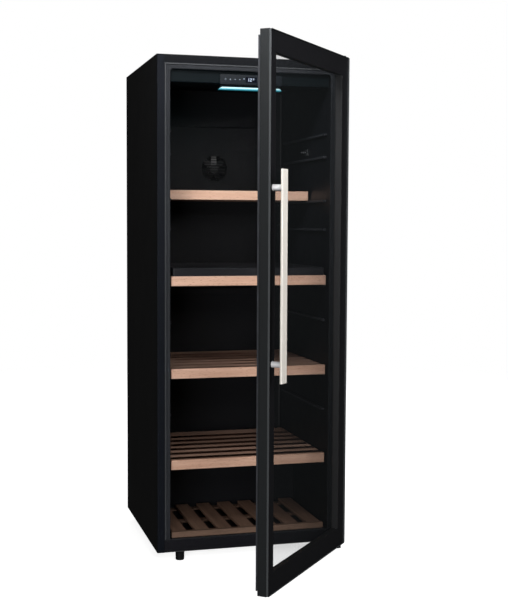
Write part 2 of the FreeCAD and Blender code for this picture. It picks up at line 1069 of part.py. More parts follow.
# ---- compressor bay ----------------------------------------------------------


def make_compressor():
    """Welded shell on a foot plate, with the seam round its middle."""
    body = new_body("compressor")
    profile = new_sketch(body, "XZ_Plane")
    half = "compressor_height / 2"
    outline(
        profile,
        [
            ("0", "0"),
            ("compressor_radius", "0"),
            ("compressor_radius", f"{half} - 3"),
            ("compressor_radius + 4", f"{half} - 3"),
            ("compressor_radius + 4", f"{half} + 3"),
            ("compressor_radius", f"{half} + 3"),
            ("compressor_radius", "compressor_height"),
            ("0", "compressor_height"),
        ],
    )
    revolve(body, profile)
    height = value("compressor_height")

    def rim(edge):
        level = edge.Vertexes[0].Point.z
        closed = len(edge.Vertexes) == 1
        return closed and (abs(level) < TINY or abs(level - height) < TINY)

    round_edges(body, "compressor_round", rim)
    plate = new_sketch(body, "XY_Plane")
    rectangle(
        plate,
        ("-compressor_plate_x / 2", "-compressor_plate_y / 2"),
        ("compressor_plate_x / 2", "compressor_plate_y / 2"),
    )
    pad(body, plate, "compressor_plate_thick")
    level = "body_bottom + base_sheet + bush_height"
    place(body, "compressor_x", "compressor_y", level)
    doc.recompute()
    sub_part("compressor", body)


def make_compressor_bushes():
    """Four rubber blocks between the foot plate and the base pan."""
    bushes = []
    for name, across, along in foot_places():
        bushes.append(
            rod(
                f"bush_{name}",
                "bush_radius",
                "bush_height",
                f"compressor_x + {across} * (compressor_plate_x / 2 - bush_radius)",
                f"compressor_y + {along} * (compressor_plate_y / 2 - bush_radius)",
                "body_bottom + base_sheet",
            )
        )
    sub_part("compressor_bushes", group("compressor_bushes", bushes))


def make_condenser_coil():
    pieces = serpentine(
        "condenser",
        CONDENSER_RUNS,
        "condenser_pitch",
        "condenser_start",
        "condenser_stop",
        "condenser_y",
        "condenser_bottom",
        "condenser_tube",
    )
    for i in range(9):
        across = f"condenser_start + 14 + {i} * 26"
        pieces.append(
            rod(
                f"condenser_wire_{i}",
                "1.2",
                f"{CONDENSER_RUNS - 1} * condenser_pitch + 12",
                across,
                "condenser_y - condenser_tube",
                "condenser_bottom - 6",
            )
        )
    sub_part("condenser_coil", joined("condenser_coil", pieces))


def make_refrigerant_pipes():
    """Suction, discharge and liquid lines and the capillary into the cabinet."""
    shell_top = "body_bottom + base_sheet + bush_height + compressor_height"
    plane = "-condenser_y"
    coil_top = f"condenser_bottom + {CONDENSER_RUNS - 1} * condenser_pitch"
    drier_top = "drier_bottom + drier_length"
    suction = tube(
        "suction_pipe",
        "XZ_Plane",
        "-compressor_y",
        [
            ("compressor_x - 40", shell_top),
            ("compressor_x - 40", "250"),
            ("compressor_x - 100", "250"),
            ("compressor_x - 100", "bay_top"),
        ],
        "4",
    )
    discharge = tube(
        "discharge_pipe",
        "XZ_Plane",
        plane,
        [
            ("compressor_x + 36", shell_top),
            ("compressor_x + 36", coil_top),
            ("condenser_start", coil_top),
        ],
        "condenser_tube",
    )
    liquid = tube(
        "liquid_pipe",
        "XZ_Plane",
        plane,
        [
            ("condenser_start", "condenser_bottom"),
            ("0", "condenser_bottom"),
            ("0", "drier_bottom"),
        ],
        "condenser_tube",
    )
    capillary = tube(
        "capillary_pipe",
        "YZ_Plane",
        "0",
        [
            ("condenser_y", drier_top),
            ("condenser_y", f"{drier_top} + 12"),
            ("bay_front", f"{drier_top} + 12"),
        ],
        "1.5",
    )
    pipes = [suction, discharge, liquid, capillary]
    sub_part("refrigerant_pipes", group("refrigerant_pipes", pipes))


def make_filter_drier():
    """Copper cartridge with tapered ends."""
    body = new_body("filter_drier")
    profile = new_sketch(body, "XZ_Plane")
    outline(
        profile,
        [
            ("0", "0"),
            ("drier_radius / 3", "0"),
            ("drier_radius", "14"),
            ("drier_radius", "drier_length - 14"),
            ("drier_radius / 3", "drier_length"),
            ("0", "drier_length"),
        ],
    )
    revolve(body, profile)
    place(body, "0", "condenser_y", "drier_bottom")
    doc.recompute()
    sub_part("filter_drier", body)


def make_drip_tray():
    """Open tray for the defrost water, under the condenser."""
    low = "body_bottom + base_sheet"
    outside = block(
        "drip_outside", ("50", "150", low), ("280", "290", f"{low} + tray_deep")
    )
    inside = block(
        "drip_inside", ("52", "152", f"{low} + 2"), ("278", "288", f"{low} + tray_deep + 1")
    )
    sub_part("drip_tray", without("drip_tray", outside, [inside]))


def make_terminal_box():
    near = "compressor_x + compressor_radius + 5"
    box = block("relay_case", (near, "200", "95"), (f"{near} + 30", "256", "165"))
    sub_part("terminal_box", group("terminal_box", [box]))


def make_power_inlet():
    """Three-pin appliance inlet, set in the compressor cover."""
    wide, tall = "inlet_width / 2", "inlet_height / 2"
    flange = block(
        "inlet_flange",
        (f"inlet_x - {wide} - 8", BACK, f"inlet_z - {tall} - 4"),
        (f"inlet_x + {wide} + 8", f"{BACK} + 2", f"inlet_z + {tall} + 4"),
    )
    case = block(
        "inlet_case",
        (f"inlet_x - {wide}", f"{BACK} - 22", f"inlet_z - {tall}"),
        (f"inlet_x + {wide}", BACK, f"inlet_z + {tall}"),
    )
    hollow = block(
        "inlet_hollow",
        (f"inlet_x - {wide} + 2.5", f"{BACK} - 16", f"inlet_z - {tall} + 2.5"),
        (f"inlet_x + {wide} - 2.5", f"{BACK} + 3", f"inlet_z + {tall} - 2.5"),
    )
    shell = without("inlet_shell", joined("inlet_solid", [flange, case]), [hollow])
    blades = [
        block(
            f"inlet_blade_{i}",
            (f"inlet_x + {i} * 7 - 1", f"{BACK} - 16", f"inlet_z - 2 + 2 * abs({i})"),
            (f"inlet_x + {i} * 7 + 1", f"{BACK} - 2", f"inlet_z + 2 + 2 * abs({i})"),
        )
        for i in (-1, 0, 1)
    ]
    sub_part("power_inlet", joined("power_inlet", [shell] + blades))


def make_compressor_cover():
    """Slotted sheet that closes the bay, with a cut-out for the inlet."""
    panel = block(
        "cover_sheet",
        ("-body_width / 2 + skin", f"{BACK} - skin", "body_bottom + 1"),
        ("body_width / 2 - skin", BACK, "bay_top - 0.5"),
    )
    tools = [
        block(
            "cover_inlet_hole",
            ("inlet_x - inlet_width / 2 - 0.5", f"{BACK} - 3", "inlet_z - inlet_height / 2 - 0.5"),
            ("inlet_x + inlet_width / 2 + 0.5", f"{BACK} + 1", "inlet_z + inlet_height / 2 + 0.5"),
        )
    ]
    for i in range(-7, 8):
        for row, low in enumerate(("body_bottom + 35", "body_bottom + 135")):
            tools.append(
                block(
                    f"vent_{row}_{i + 7}",
                    (f"{i} * vent_pitch - vent_width / 2", f"{BACK} - 3", low),
                    (f"{i} * vent_pitch + vent_width / 2", f"{BACK} + 1", f"{low} + vent_height"),
                )
            )
    sub_part("compressor_cover", without("compressor_cover", panel, tools))


def make_rear_spacers():
    """Two stops that keep the cabinet off the wall."""
    pieces = [
        block(
            f"spacer_{name}",
            (f"{sign} * 220 - 20", BACK, "1590"),
            (f"{sign} * 220 + 20", f"{BACK} + spacer_depth", "1640"),
        )
        for name, sign in (("left", -1), ("right", 1))
    ]
    sub_part("rear_spacers", group("rear_spacers", pieces))


# ---- levelling feet -----------------------------------------------------------


def make_foot(name, across, along):
    """Plastic foot on a threaded stem, a little narrower at its straight-sided pad."""
    node = f"foot_{name}"
    body = new_body(node)
    profile = new_sketch(body, "XZ_Plane")
    outline(
        profile,
        [
            ("0", "0"),
            ("foot_radius", "0"),
            ("foot_radius", "foot_pad"),
            ("foot_neck", "foot_top"),
            ("stem_radius", "foot_top"),
            ("stem_radius", "stem_top"),
            ("0", "stem_top"),
        ],
    )
    revolve(body, profile)
    place(body, foot_x(across), foot_y(along))
    doc.recompute()
    sub_part(node, body)


# ---- hinges --------------------------------------------------------------------


def make_hinge_bracket(node, plate_low, riser_low, riser_top, arm_low, pin_low, lip_low=None):
    """Cranked steel bracket with its pin: plate on the cabinet, riser, arm and pin.

    With lip_low, the arm's front edge is folded down to that level, which stiffens it."""
    back = f"{FRONT} + bracket_back"
    right = "body_width / 2 - 2"
    plate = block(
        f"{node}_plate",
        ("bracket_left", FRONT, plate_low),
        (right, back, f"{plate_low} + bracket_sheet"),
    )
    riser = block(
        f"{node}_riser",
        (f"{HINGE_X} - arm_half - 4", FRONT, riser_low),
        (right, f"{FRONT} + bracket_sheet", riser_top),
    )
    arm = block(
        f"{node}_arm",
        (f"{HINGE_X} - arm_half", f"{FRONT} - arm_reach", arm_low),
        (f"{HINGE_X} + arm_half", f"{FRONT} + bracket_sheet", f"{arm_low} + bracket_sheet"),
    )
    pin = rod(f"{node}_pin", "pin_radius", "pin_length", HINGE_X, HINGE_Y, pin_low)
    pieces = [plate, riser, arm, pin]
    if lip_low:
        lip = block(
            f"{node}_lip",
            (f"{HINGE_X} - arm_half", f"{FRONT} - arm_reach", lip_low),
            (f"{HINGE_X} + arm_half", f"{FRONT} - arm_reach + bracket_sheet", arm_low),
        )
        pieces.append(lip)
    sub_part(node, joined(node, pieces))


def make_hinge_brackets():
    make_hinge_bracket(
        "hinge_bracket_top",
        "body_top",
        "body_top",
        "top_arm + bracket_sheet",
        "top_arm",
        "top_arm + 0.5 - pin_length",
    )
    make_hinge_bracket(
        "hinge_bracket_bottom",
        "body_bottom - bracket_sheet",
        "bottom_arm - bracket_sheet",
        "body_bottom",
        "bottom_arm - bracket_sheet",
        "bottom_arm - 0.5",
        "bottom_arm - bracket_sheet - bracket_lip",
    )


def make_hinge_screws():
    """Hexagon heads, three on each bracket's plate."""
    heads = []
    for i in range(3):
        for end, level in (
            ("top", "body_top + bracket_sheet"),
            ("bottom", "body_bottom - bracket_sheet - screw_head"),
        ):
            head = doc.addObject("Part::Prism", f"screw_{end}_{i}")
            head.Polygon = 6
            bind(head, Circumradius="screw_radius", Height="screw_head")
            along = f"{FRONT} + bracket_back - 9 - {i} * 19"
            place(head, "(bracket_left + body_width / 2 - 2) / 2", along, level)
            heads.append(head)
    sub_part("hinge_screws", group("hinge_screws", heads))


# ---- door, in its own axes: the hinge pin is the origin, the closed door is along -X ----


def make_outer_glass():
    """Full-size pane that forms the door's face."""
    corners = corners_of((DOOR_FREE, "door_bottom"), ("hinge_inset", "door_top"))
    name = "door_outer_glass"
    start = "door_front - door_glass"
    body = extruded(name, "XZ_Plane", start, "door_glass", [corners])
    round_edges(body, "door_corner", lambda edge: runs_along(edge, 1))
    sub_part(name, hang_on_door(body))


def make_inner_glass():
    name = "door_inner_glass"
    corners = corners_of(
        (f"{DOOR_FREE} + free_border + glazing_gap", "door_bottom + end_border + glazing_gap"),
        ("hinge_inset - hinge_border - glazing_gap", "door_top - end_border - glazing_gap"),
    )
    start = "-inner_pane_front - inner_pane"
    body = extruded(name, "XZ_Plane", start, "inner_pane", [corners])
    sub_part(name, hang_on_door(body))


def make_glass_spacer():
    """Hollow-space bar that keeps the two panes apart."""
    name = "glass_spacer"
    low = (
        f"{DOOR_FREE} + free_border + glazing_gap",
        "door_bottom + end_border + glazing_gap",
    )
    high = (
        "hinge_inset - hinge_border - glazing_gap",
        "door_top - end_border - glazing_gap",
    )
    inner_low = tuple(f"{side} + spacer_width" for side in low)
    inner_high = tuple(f"{side} - spacer_width" for side in high)
    rings = [corners_of(low, high), corners_of(inner_low, inner_high)]
    depth = "inner_pane_front + door_front - door_glass"
    body = extruded(name, "XZ_Plane", "-inner_pane_front", depth, rings)
    sub_part(name, hang_on_door(body))


def make_stile(name, near, far):
    """Upright of the door frame: a hollow profile."""
    rings = [
        corners_of((near, FRAME_FRONT), (far, DOOR_BACK)),
        corners_of(
            (f"{near} + profile_wall", f"{FRAME_FRONT} + profile_wall"),
            (f"{far} - profile_wall", f"{DOOR_BACK} - profile_wall"),
        ),
    ]
    body = extruded(name, "XY_Plane", "door_bottom", "door_top - door_bottom", rings)
    sub_part(name, hang_on_door(body))


def make_rail(name, low):
    """Level member of the door frame, between the stiles: a hollow profile."""
    high = f"{low} + end_border"
    rings = [
        corners_of((FRAME_FRONT, low), (DOOR_BACK, high)),
        corners_of(
            (f"{FRAME_FRONT} + profile_wall", f"{low} + profile_wall"),
            (f"{DOOR_BACK} - profile_wall", f"{high} - profile_wall"),
        ),
    ]
    start = f"{DOOR_FREE} + free_border"
    length = "body_width - free_border - hinge_border"
    body = extruded(name, "YZ_Plane", start, length, rings)
    sub_part(name, hang_on_door(body))


def make_door_gasket():
    """Magnetic seal on the back of the door frame."""
    low = (f"{DOOR_FREE} + 3", "seal_bottom")
    high = ("0", "seal_top")
    rings = [
        corners_of(low, high),
        corners_of(
            (f"{low[0]} + seal_width", "seal_bottom + seal_width"),
            ("-seal_width", "seal_top - seal_width"),
        ),
    ]
    start = f"-({DOOR_BACK}) - seal_thick"
    body = extruded("door_gasket", "XZ_Plane", start, "seal_thick", rings)
    sub_part("door_gasket", hang_on_door(body))


def make_hinge_bushes():
    """Plugs in the ends of the hinge stile, bored for the pins, each with a round flange."""
    pieces = []
    for end, plug_low, flange_low in (
        ("bottom", "door_bottom", "bottom_arm + 0.5"),
        ("top", "door_top - bush_length", "door_top"),
    ):
        plug = block(
            f"plug_{end}",
            (
                "hinge_inset - hinge_border + profile_wall + 0.1",
                f"{FRAME_FRONT} + profile_wall + 0.1",
                plug_low,
            ),
            (
                "hinge_inset - profile_wall - 0.1",
                f"{DOOR_BACK} - profile_wall - 0.1",
                f"{plug_low} + bush_length",
            ),
        )
        if end == "bottom":
            height = "door_bottom - bottom_arm - 0.5"
        else:
            height = "top_arm - door_top - 0.5"
        flange = rod(f"flange_{end}", "bush_flange", height, z=flange_low)
        bore = rod(
            f"bore_{end}",
            "pin_radius + pin_clearance",
            "2 * bush_length + 40",
            z=f"{plug_low} - bush_length - 10",
        )
        solid = joined(f"bush_solid_{end}", [plug, flange])
        pieces.append(without(f"bush_{end}", solid, [bore]))
    sub_part("hinge_bushes", hang_on_door(group("hinge_bushes", pieces)))


def make_stile_end_caps():
    """Plugs in the two ends of the free stile."""
    caps = [
        block(
            f"cap_{end}",
            (
                f"{DOOR_FREE} + profile_wall + 0.1",
                f"{FRAME_FRONT} + profile_wall + 0.1",
                low,
            ),
            (
                f"{DOOR_FREE} + free_border - profile_wall - 0.1",
                f"{DOOR_BACK} - profile_wall - 0.1",
                f"{low} + bush_length",
            ),
        )
        for end, low in (("bottom", "door_bottom"), ("top", "door_top - bush_length"))
    ]
    sub_part("stile_end_caps", hang_on_door(group("stile_end_caps", caps)))


def make_handle_bar():
    """Flat upright pull."""
    near = f"{DOOR_FREE} + bar_inset"
    face = "-door_front - post_length"
    corners = corners_of((near, f"{face} - bar_thick"), (f"{near} + bar_width", face))
    body = extruded(
        "handle_bar", "XY_Plane", "bar_bottom", "bar_top - bar_bottom", [corners]
    )
    round_edges(body, "bar_round", lambda edge: True)
    sub_part("handle_bar", hang_on_door(body))


def make_handle_posts():
    across = f"{DOOR_FREE} + bar_inset + bar_width / 2"
    posts = [
        rod(
            f"post_{name}",
            "post_radius",
            "post_length",
            across,
            "-door_front",
            f"post_{name}",
            along="y",
        )
        for name in ("low", "high")
    ]
    sub_part("handle_posts", hang_on_door(group("handle_posts", posts)))


# ---- build ---------------------------------------------------------------------


def make_everything():
    make_side_panel("side_panel_left", -1)
    make_side_panel("side_panel_right", 1)
    make_top_panel()
    make_back_panel()
    make_base_pan()
    make_inner_liner()
    make_insulation_foam()
    make_opening_collar()
    make_bottom_sill()
    make_shelf_supports()
    for name in SHELF_NAMES:
        make_shelf_front(name)
        make_shelf_deck(name)
    make_display_tray()
    make_floor_rack()
    make_control_housing()
    make_control_panel_cover()
    make_display_window()
    make_control_board()
    make_light_strip()
    make_light_diffuser()
    make_temperature_probe()
    make_evaporator_cover()
    make_evaporator_coil()
    make_fan_motor()
    make_fan_impeller()
    make_compressor()
    make_compressor_bushes()
    make_condenser_coil()
    make_refrigerant_pipes()
    make_filter_drier()
    make_drip_tray()
    make_terminal_box()
    make_power_inlet()
    make_compressor_cover()
    make_rear_spacers()
    for name, across, along in foot_places():
        make_foot(name, across, along)
    make_hinge_brackets()
    make_hinge_screws()
    make_outer_glass()
    make_inner_glass()
    make_glass_spacer()
    make_stile("door_stile_free", DOOR_FREE, f"{DOOR_FREE} + free_border")
    make_stile("door_stile_hinge", "hinge_inset - hinge_border", "hinge_inset")
    make_rail("door_rail_bottom", "door_bottom")
    make_rail("door_rail_top", "door_top - end_border")
    make_door_gasket()
    make_hinge_bushes()
    make_stile_end_caps()
    make_handle_bar()
    make_handle_posts()


def check_everything():
    """Stop before writing if any object failed or any sub-part is not a sound shape."""
    doc.recompute()
    for thing in doc.Objects:
        if {"Invalid", "Error"} & set(thing.State):
            raise RuntimeError(f"{thing.Name} failed: {thing.State}")
    for thing in sub_parts:
        if thing.Shape.isNull() or not thing.Shape.isValid() or not thing.Shape.Solids:
            raise RuntimeError(f"{thing.Label} is not a sound solid")


def write_everything():
    os.makedirs("parts", exist_ok=True)
    for thing in sub_parts:
        thing.Shape.exportStep(f"parts/{thing.Label}.step")
        solids = len(thing.Shape.Solids)
        print(f"{thing.Label}: {solids} solids, {thing.Shape.Volume / 1000:.1f} cm3")


make_everything()
check_everything()
write_everything()
print(len(sub_parts), "sub-parts")
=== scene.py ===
import json
import math

import bmesh
import bpy
from mathutils import Matrix, Vector


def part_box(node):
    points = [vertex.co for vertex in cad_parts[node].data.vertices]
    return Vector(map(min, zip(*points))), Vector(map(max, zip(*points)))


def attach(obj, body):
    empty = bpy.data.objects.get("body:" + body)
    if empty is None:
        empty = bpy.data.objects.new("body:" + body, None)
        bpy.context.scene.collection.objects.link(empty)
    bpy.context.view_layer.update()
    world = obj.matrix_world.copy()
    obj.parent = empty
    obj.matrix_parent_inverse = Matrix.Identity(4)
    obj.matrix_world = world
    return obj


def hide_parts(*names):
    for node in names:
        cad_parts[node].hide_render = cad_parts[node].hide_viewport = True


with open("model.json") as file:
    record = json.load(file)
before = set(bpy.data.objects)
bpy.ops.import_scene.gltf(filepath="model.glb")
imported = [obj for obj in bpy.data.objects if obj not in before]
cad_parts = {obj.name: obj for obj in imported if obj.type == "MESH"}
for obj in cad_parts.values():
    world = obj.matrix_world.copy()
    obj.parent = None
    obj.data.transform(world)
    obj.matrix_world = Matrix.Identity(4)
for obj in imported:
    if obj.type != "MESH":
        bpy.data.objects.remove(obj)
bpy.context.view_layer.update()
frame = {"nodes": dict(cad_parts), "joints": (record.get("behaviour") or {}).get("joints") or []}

MM = 0.001
ROUND_STEPS = 4
LEAST_RADIUS = 0.01 * MM
NOTHING = 1e-6
LARGEST_ROUND = 0.45
SHARP_EDGE = math.radians(32)
SPECULAR = "Specular IOR Level"
LOW_SPECULAR = {SPECULAR: 0.15}
MATT = {SPECULAR: 0.06}

# ---- where things are ----

hinge = next(joint for joint in frame["joints"] if joint["name"] == "door_hinge")
DOOR_ANGLE = -math.radians(hinge["range_deg"][0])
DOOR_PLACE = Matrix.Translation(
    (hinge["pos_m"][0], hinge["pos_m"][1], 0)
) @ Matrix.Rotation(DOOR_ANGLE, 4, "Z")


def corners(points):
    """Lowest and highest corner of some points."""
    low = Vector(min(p[i] for p in points) for i in range(3))
    high = Vector(max(p[i] for p in points) for i in range(3))
    return low, high


def door_box(node):
    """A door node's box in the door's own frame: closed door, origin on the hinge axis."""
    back = DOOR_PLACE.inverted()
    return corners([back @ v.co for v in frame["nodes"][node].data.vertices])


def islands(node):
    """The boxes of a node's separate solids, in a fixed order."""
    bm = bmesh.new()
    bm.from_mesh(frame["nodes"][node].data)
    bmesh.ops.remove_doubles(bm, verts=bm.verts, dist=0.01 * MM)
    bm.verts.ensure_lookup_table()
    seen = set()
    boxes = []
    for start in bm.verts:
        if start.index in seen:
            continue
        group = []
        queue = [start]
        seen.add(start.index)
        while queue:
            vert = queue.pop()
            group.append(vert.co.copy())
            for edge in vert.link_edges:
                other = edge.other_vert(vert)
                if other.index not in seen:
                    seen.add(other.index)
                    queue.append(other)
        boxes.append(corners(group))
    bm.free()
    return sorted(boxes, key=lambda b: tuple(round(v, 4) for v in (*b[0], *b[1])))


# ---- materials ----


class Nodes:
    """A material's node tree with a Principled shader, and short calls to add to it."""

    def __init__(self, name, colour, roughness, **sockets):
        self.material = bpy.data.materials.new(name)
        self.material.use_nodes = True
        self.tree = self.material.node_tree
        self.shader = self.tree.nodes["Principled BSDF"]
        self.roughness = roughness
        self.set("Base Color", (*colour, 1))
        self.set("Roughness", roughness)
        for socket, value in sockets.items():
            self.set(socket.replace("_", " "), value)
        self.coordinates = None

    def set(self, socket, value):
        self.shader.inputs[socket].default_value = value

    def add(self, kind, **values):
        node = self.tree.nodes.new(kind)
        for key, value in values.items():
            if key in node.inputs:
                node.inputs[key].default_value = value
            else:
                setattr(node, key, value)
        return node

    def link(self, output, target):
        self.tree.links.new(output, target)

    def drive(self, socket, output):
        """Lets an output set one of the shader's sockets."""
        self.link(output, self.shader.inputs[socket])

    def tint(self, value, *stops):
        """Colours the shader by value, through a ramp."""
        self.drive("Base Color", self.ramp(value, stops))

    def gloss(self, value, smoother, rougher):
        """Varies the shader's roughness by value, around the roughness it was made with."""
        self.drive("Roughness", self.between(value, self.roughness - smoother, self.roughness + rougher))

    def position(self, scale=(1, 1, 1)):
        """Coordinates in metres, times scale."""
        if self.coordinates is None:
            self.coordinates = self.add("ShaderNodeTexCoord")
        mapping = self.add("ShaderNodeMapping")
        mapping.inputs["Scale"].default_value = scale
        self.link(self.coordinates.outputs["Object"], mapping.inputs["Vector"])
        return mapping.outputs["Vector"]

    def noise(self, scale, detail=2.0, stretch=(1, 1, 1), roughness=0.5):
        node = self.add("ShaderNodeTexNoise", Scale=scale, Detail=detail, Roughness=roughness)
        self.link(self.position(stretch), node.inputs["Vector"])
        return node.outputs["Fac"]

    def between(self, value, low, high, start=0.3, end=0.7):
        """Takes value from start..end to low..high."""
        node = self.add("ShaderNodeMapRange")
        node.inputs["From Min"].default_value = start
        node.inputs["From Max"].default_value = end
        node.inputs["To Min"].default_value = low
        node.inputs["To Max"].default_value = high
        self.link(value, node.inputs["Value"])
        return node.outputs["Result"]

    def ramp(self, value, stops):
        node = self.add("ShaderNodeValToRGB")
        node.color_ramp.elements[0].position = stops[0][0]
        node.color_ramp.elements[0].color = (*stops[0][1], 1)
        node.color_ramp.elements[1].position = stops[-1][0]
        node.color_ramp.elements[1].color = (*stops[-1][1], 1)
        for place, colour in stops[1:-1]:
            node.color_ramp.elements.new(place).color = (*colour, 1)
        self.link(value, node.inputs["Fac"])
        return node.outputs["Color"]

    def mix(self, factor, first, second, blend="MIX"):
        node = self.add("ShaderNodeMix", data_type="RGBA", blend_type=blend)
        factor_in, first_in, second_in, colour_out = 0, 6, 7, 2
        for value, socket in ((factor, factor_in), (first, first_in), (second, second_in)):
            if isinstance(value, bpy.types.NodeSocket):
                self.link(value, node.inputs[socket])
            elif isinstance(value, tuple):
                node.inputs[socket].default_value = (*value, 1)
            else:
                node.inputs[socket].default_value = value
        return node.outputs[colour_out]

    def bump(self, height, strength, distance):
        node = self.add("ShaderNodeBump", Strength=strength, Distance=distance)
        self.link(height, node.inputs["Height"])
        if self.shader.inputs["Normal"].is_linked:
            before = self.shader.inputs["Normal"].links[0].from_socket
            self.link(before, node.inputs["Normal"])
        self.link(node.outputs["Normal"], self.shader.inputs["Normal"])


def shaded(colour, factor):
    return tuple(min(1.0, c * factor) for c in colour)


def stretched(along, share):
    """The scale that draws a pattern out along one axis."""
    return tuple(share if axis == along else 1.0 for axis in "XYZ")


def paint(name, colour, roughness, grain=900, **sockets):
    """Powder coat: fine orange peel and a slightly uneven gloss."""
    m = Nodes(name, colour, roughness, **sockets)
    m.tint(m.noise(2.2), (0.3, shaded(colour, 0.96)), (0.7, shaded(colour, 1.04)))
    m.gloss(m.noise(6), 0.015, 0.02)
    m.bump(m.noise(grain), 0.2, 0.05 * MM)
    return m.material


def plastic(name, colour, roughness, grain=1400, depth=0.04 * MM, **sockets):
    """Moulded plastic: fine texture and faint clouding."""
    m = Nodes(name, colour, roughness, **sockets)
    m.tint(m.noise(5), (0.3, shaded(colour, 0.95)), (0.7, shaded(colour, 1.05)))
    m.gloss(m.noise(18), 0.015, 0.02)
    m.bump(m.noise(grain, 1), 0.2, depth)
    return m.material


def rubber(name, colour):
    """Soft matt rubber with a dusty surface."""
    m = Nodes(name, colour, 0.78, **{SPECULAR: 0.35})
    m.tint(m.noise(30, 4), (0.3, shaded(colour, 0.8)), (0.75, shaded(colour, 1.3)))
    m.bump(m.noise(2500), 0.4, 0.05 * MM)
    return m.material


def brushed(name, colour, roughness, along="Z", metallic=1.0, **sockets):
    """Metal with fine lines that run one way."""
    m = Nodes(name, colour, roughness, Metallic=metallic, **sockets)
    lines = m.noise(1800, 3, stretched(along, 0.015), 0.6)
    m.tint(lines, (0.3, shaded(colour, 0.86)), (0.7, shaded(colour, 1.08)))
    m.gloss(lines, 0.07, 0.09)
    m.bump(lines, 0.2, 0.03 * MM)
    return m.material


def wood(name, light, dark, along="X", ring=55.0):
    """Planed timber: long wavy figure, fine fibres, short dark flecks."""
    m = Nodes(name, light, 0.5, **{SPECULAR: 0.3})
    figure = m.noise(ring, 4, stretched(along, 0.055), 0.55)
    fine = m.noise(900, 3, stretched(along, 0.02), 0.6)
    spots = m.noise(650, 1, stretched(along, 0.12), 0.4)
    board = m.noise(2.3, 1)
    middle = tuple((a + b) / 2 for a, b in zip(light, dark))
    base = m.ramp(figure, [(0.32, dark), (0.47, middle), (0.62, light), (0.75, shaded(light, 1.06))])
    base = m.mix(0.22, base, m.ramp(fine, [(0.35, shaded(dark, 0.75)), (0.65, shaded(light, 1.1))]))
    spotted = m.ramp(spots, [(0.27, shaded(dark, 0.6)), (0.36, (1, 1, 1))])
    base = m.mix(0.5, base, spotted, "MULTIPLY")
    base = m.mix(0.35, base, m.ramp(board, [(0.3, shaded(light, 0.8)), (0.7, (1, 1, 1))]), "MULTIPLY")
    m.drive("Base Color", base)
    m.gloss(fine, 0.07, 0.1)
    m.bump(fine, 0.25, 0.08 * MM)
    m.bump(figure, 0.12, 0.15 * MM)
    return m.material


def glow(name, colour, strength):
    """A lit surface with a faintly uneven brightness."""
    m = Nodes(name, shaded(colour, 0.15), 0.4)
    m.drive("Emission Color", m.ramp(m.noise(25, 1), [(0.3, shaded(colour, 0.92)), (0.7, colour)]))
    m.set("Emission Strength", strength)
    return m.material


def lit_lens(name, low, high, strength):
    """A diffusing lens lit from above: white with a cold cast, deep teal along its lower edge."""
    m = Nodes(name, (0.05, 0.08, 0.09), 0.4)
    height = m.add("ShaderNodeSeparateXYZ")
    m.link(m.position(), height.inputs["Vector"])
    level = m.between(height.outputs["Z"], 0, 1, low, high)
    stops = [
        (0.0, (0.012, 0.20, 0.27)),
        (0.3, (0.10, 0.55, 0.66)),
        (0.55, (0.68, 0.97, 1.0)),
        (1.0, (0.55, 0.9, 0.95)),
    ]
    m.drive("Emission Color", m.ramp(level, stops))
    m.set("Emission Strength", strength)
    return m.material


def pane(name, colour, alpha):
    """Float glass, seen through with a light grey cast."""
    m = Nodes(name, colour, 0.02, IOR=1.5, Alpha=alpha)
    m.gloss(m.noise(4), 0.01, 0)
    return m.material


def circuit_board(name):
    """Solder-mask green with lighter tracks."""
    m = Nodes(name, (0.02, 0.12, 0.05), 0.35)
    tracks = m.add("ShaderNodeTexBrick", Scale=60.0)
    tracks.inputs["Color1"].default_value = (0.015, 0.1, 0.04, 1)
    tracks.inputs["Color2"].default_value = (0.02, 0.13, 0.05, 1)
    tracks.inputs["Mortar"].default_value = (0.05, 0.25, 0.1, 1)
    m.link(m.position(), tracks.inputs["Vector"])
    m.drive("Base Color", tracks.outputs["Color"])
    return m.material


def foam(name):
    """Rigid foam: dark grey, with small cells."""
    m = Nodes(name, (0.03, 0.03, 0.032), 0.9, **MATT)
    cells = m.add("ShaderNodeTexVoronoi", Scale=500.0)
    m.link(m.position(), cells.inputs["Vector"])
    m.tint(cells.outputs["Distance"], (0.1, (0.015, 0.015, 0.016)), (0.7, (0.035, 0.035, 0.037)))
    m.bump(cells.outputs["Distance"], 0.5, 0.3 * MM)
    return m.material


BLACK_PAINT = paint("cabinet_paint", (0.0055, 0.0055, 0.0058), 0.5, **LOW_SPECULAR)
# Painted light: a bluer copy of the cabinet paint for the sheets' front faces, standing in for how light
# falls on them.
FLANGE_PAINTED_LIGHT = paint("flange_painted_light", (0.0050, 0.0062, 0.0092), 0.45, **MATT)
# Painted shade: a darker copy of the flange paint for the top flange, where the lights fall strongly.
TOP_FLANGE_PAINTED_SHADE = paint("top_flange_painted_shade", (0.0034, 0.0040, 0.0052), 0.5, **MATT)
REAR_STEEL = paint("rear_steel", (0.03, 0.031, 0.034), 0.55, 600)
HINGE_PAINT = paint("hinge_paint", (0.014, 0.014, 0.016), 0.45, **LOW_SPECULAR)
COMPRESSOR_PAINT = paint("compressor_paint", (0.012, 0.012, 0.013), 0.35, 500)
CONDENSER_PAINT = paint("condenser_paint", (0.016, 0.016, 0.017), 0.4)
LINER = plastic("liner_plastic", (0.0032, 0.0035, 0.0048), 0.45, 700, **LOW_SPECULAR)
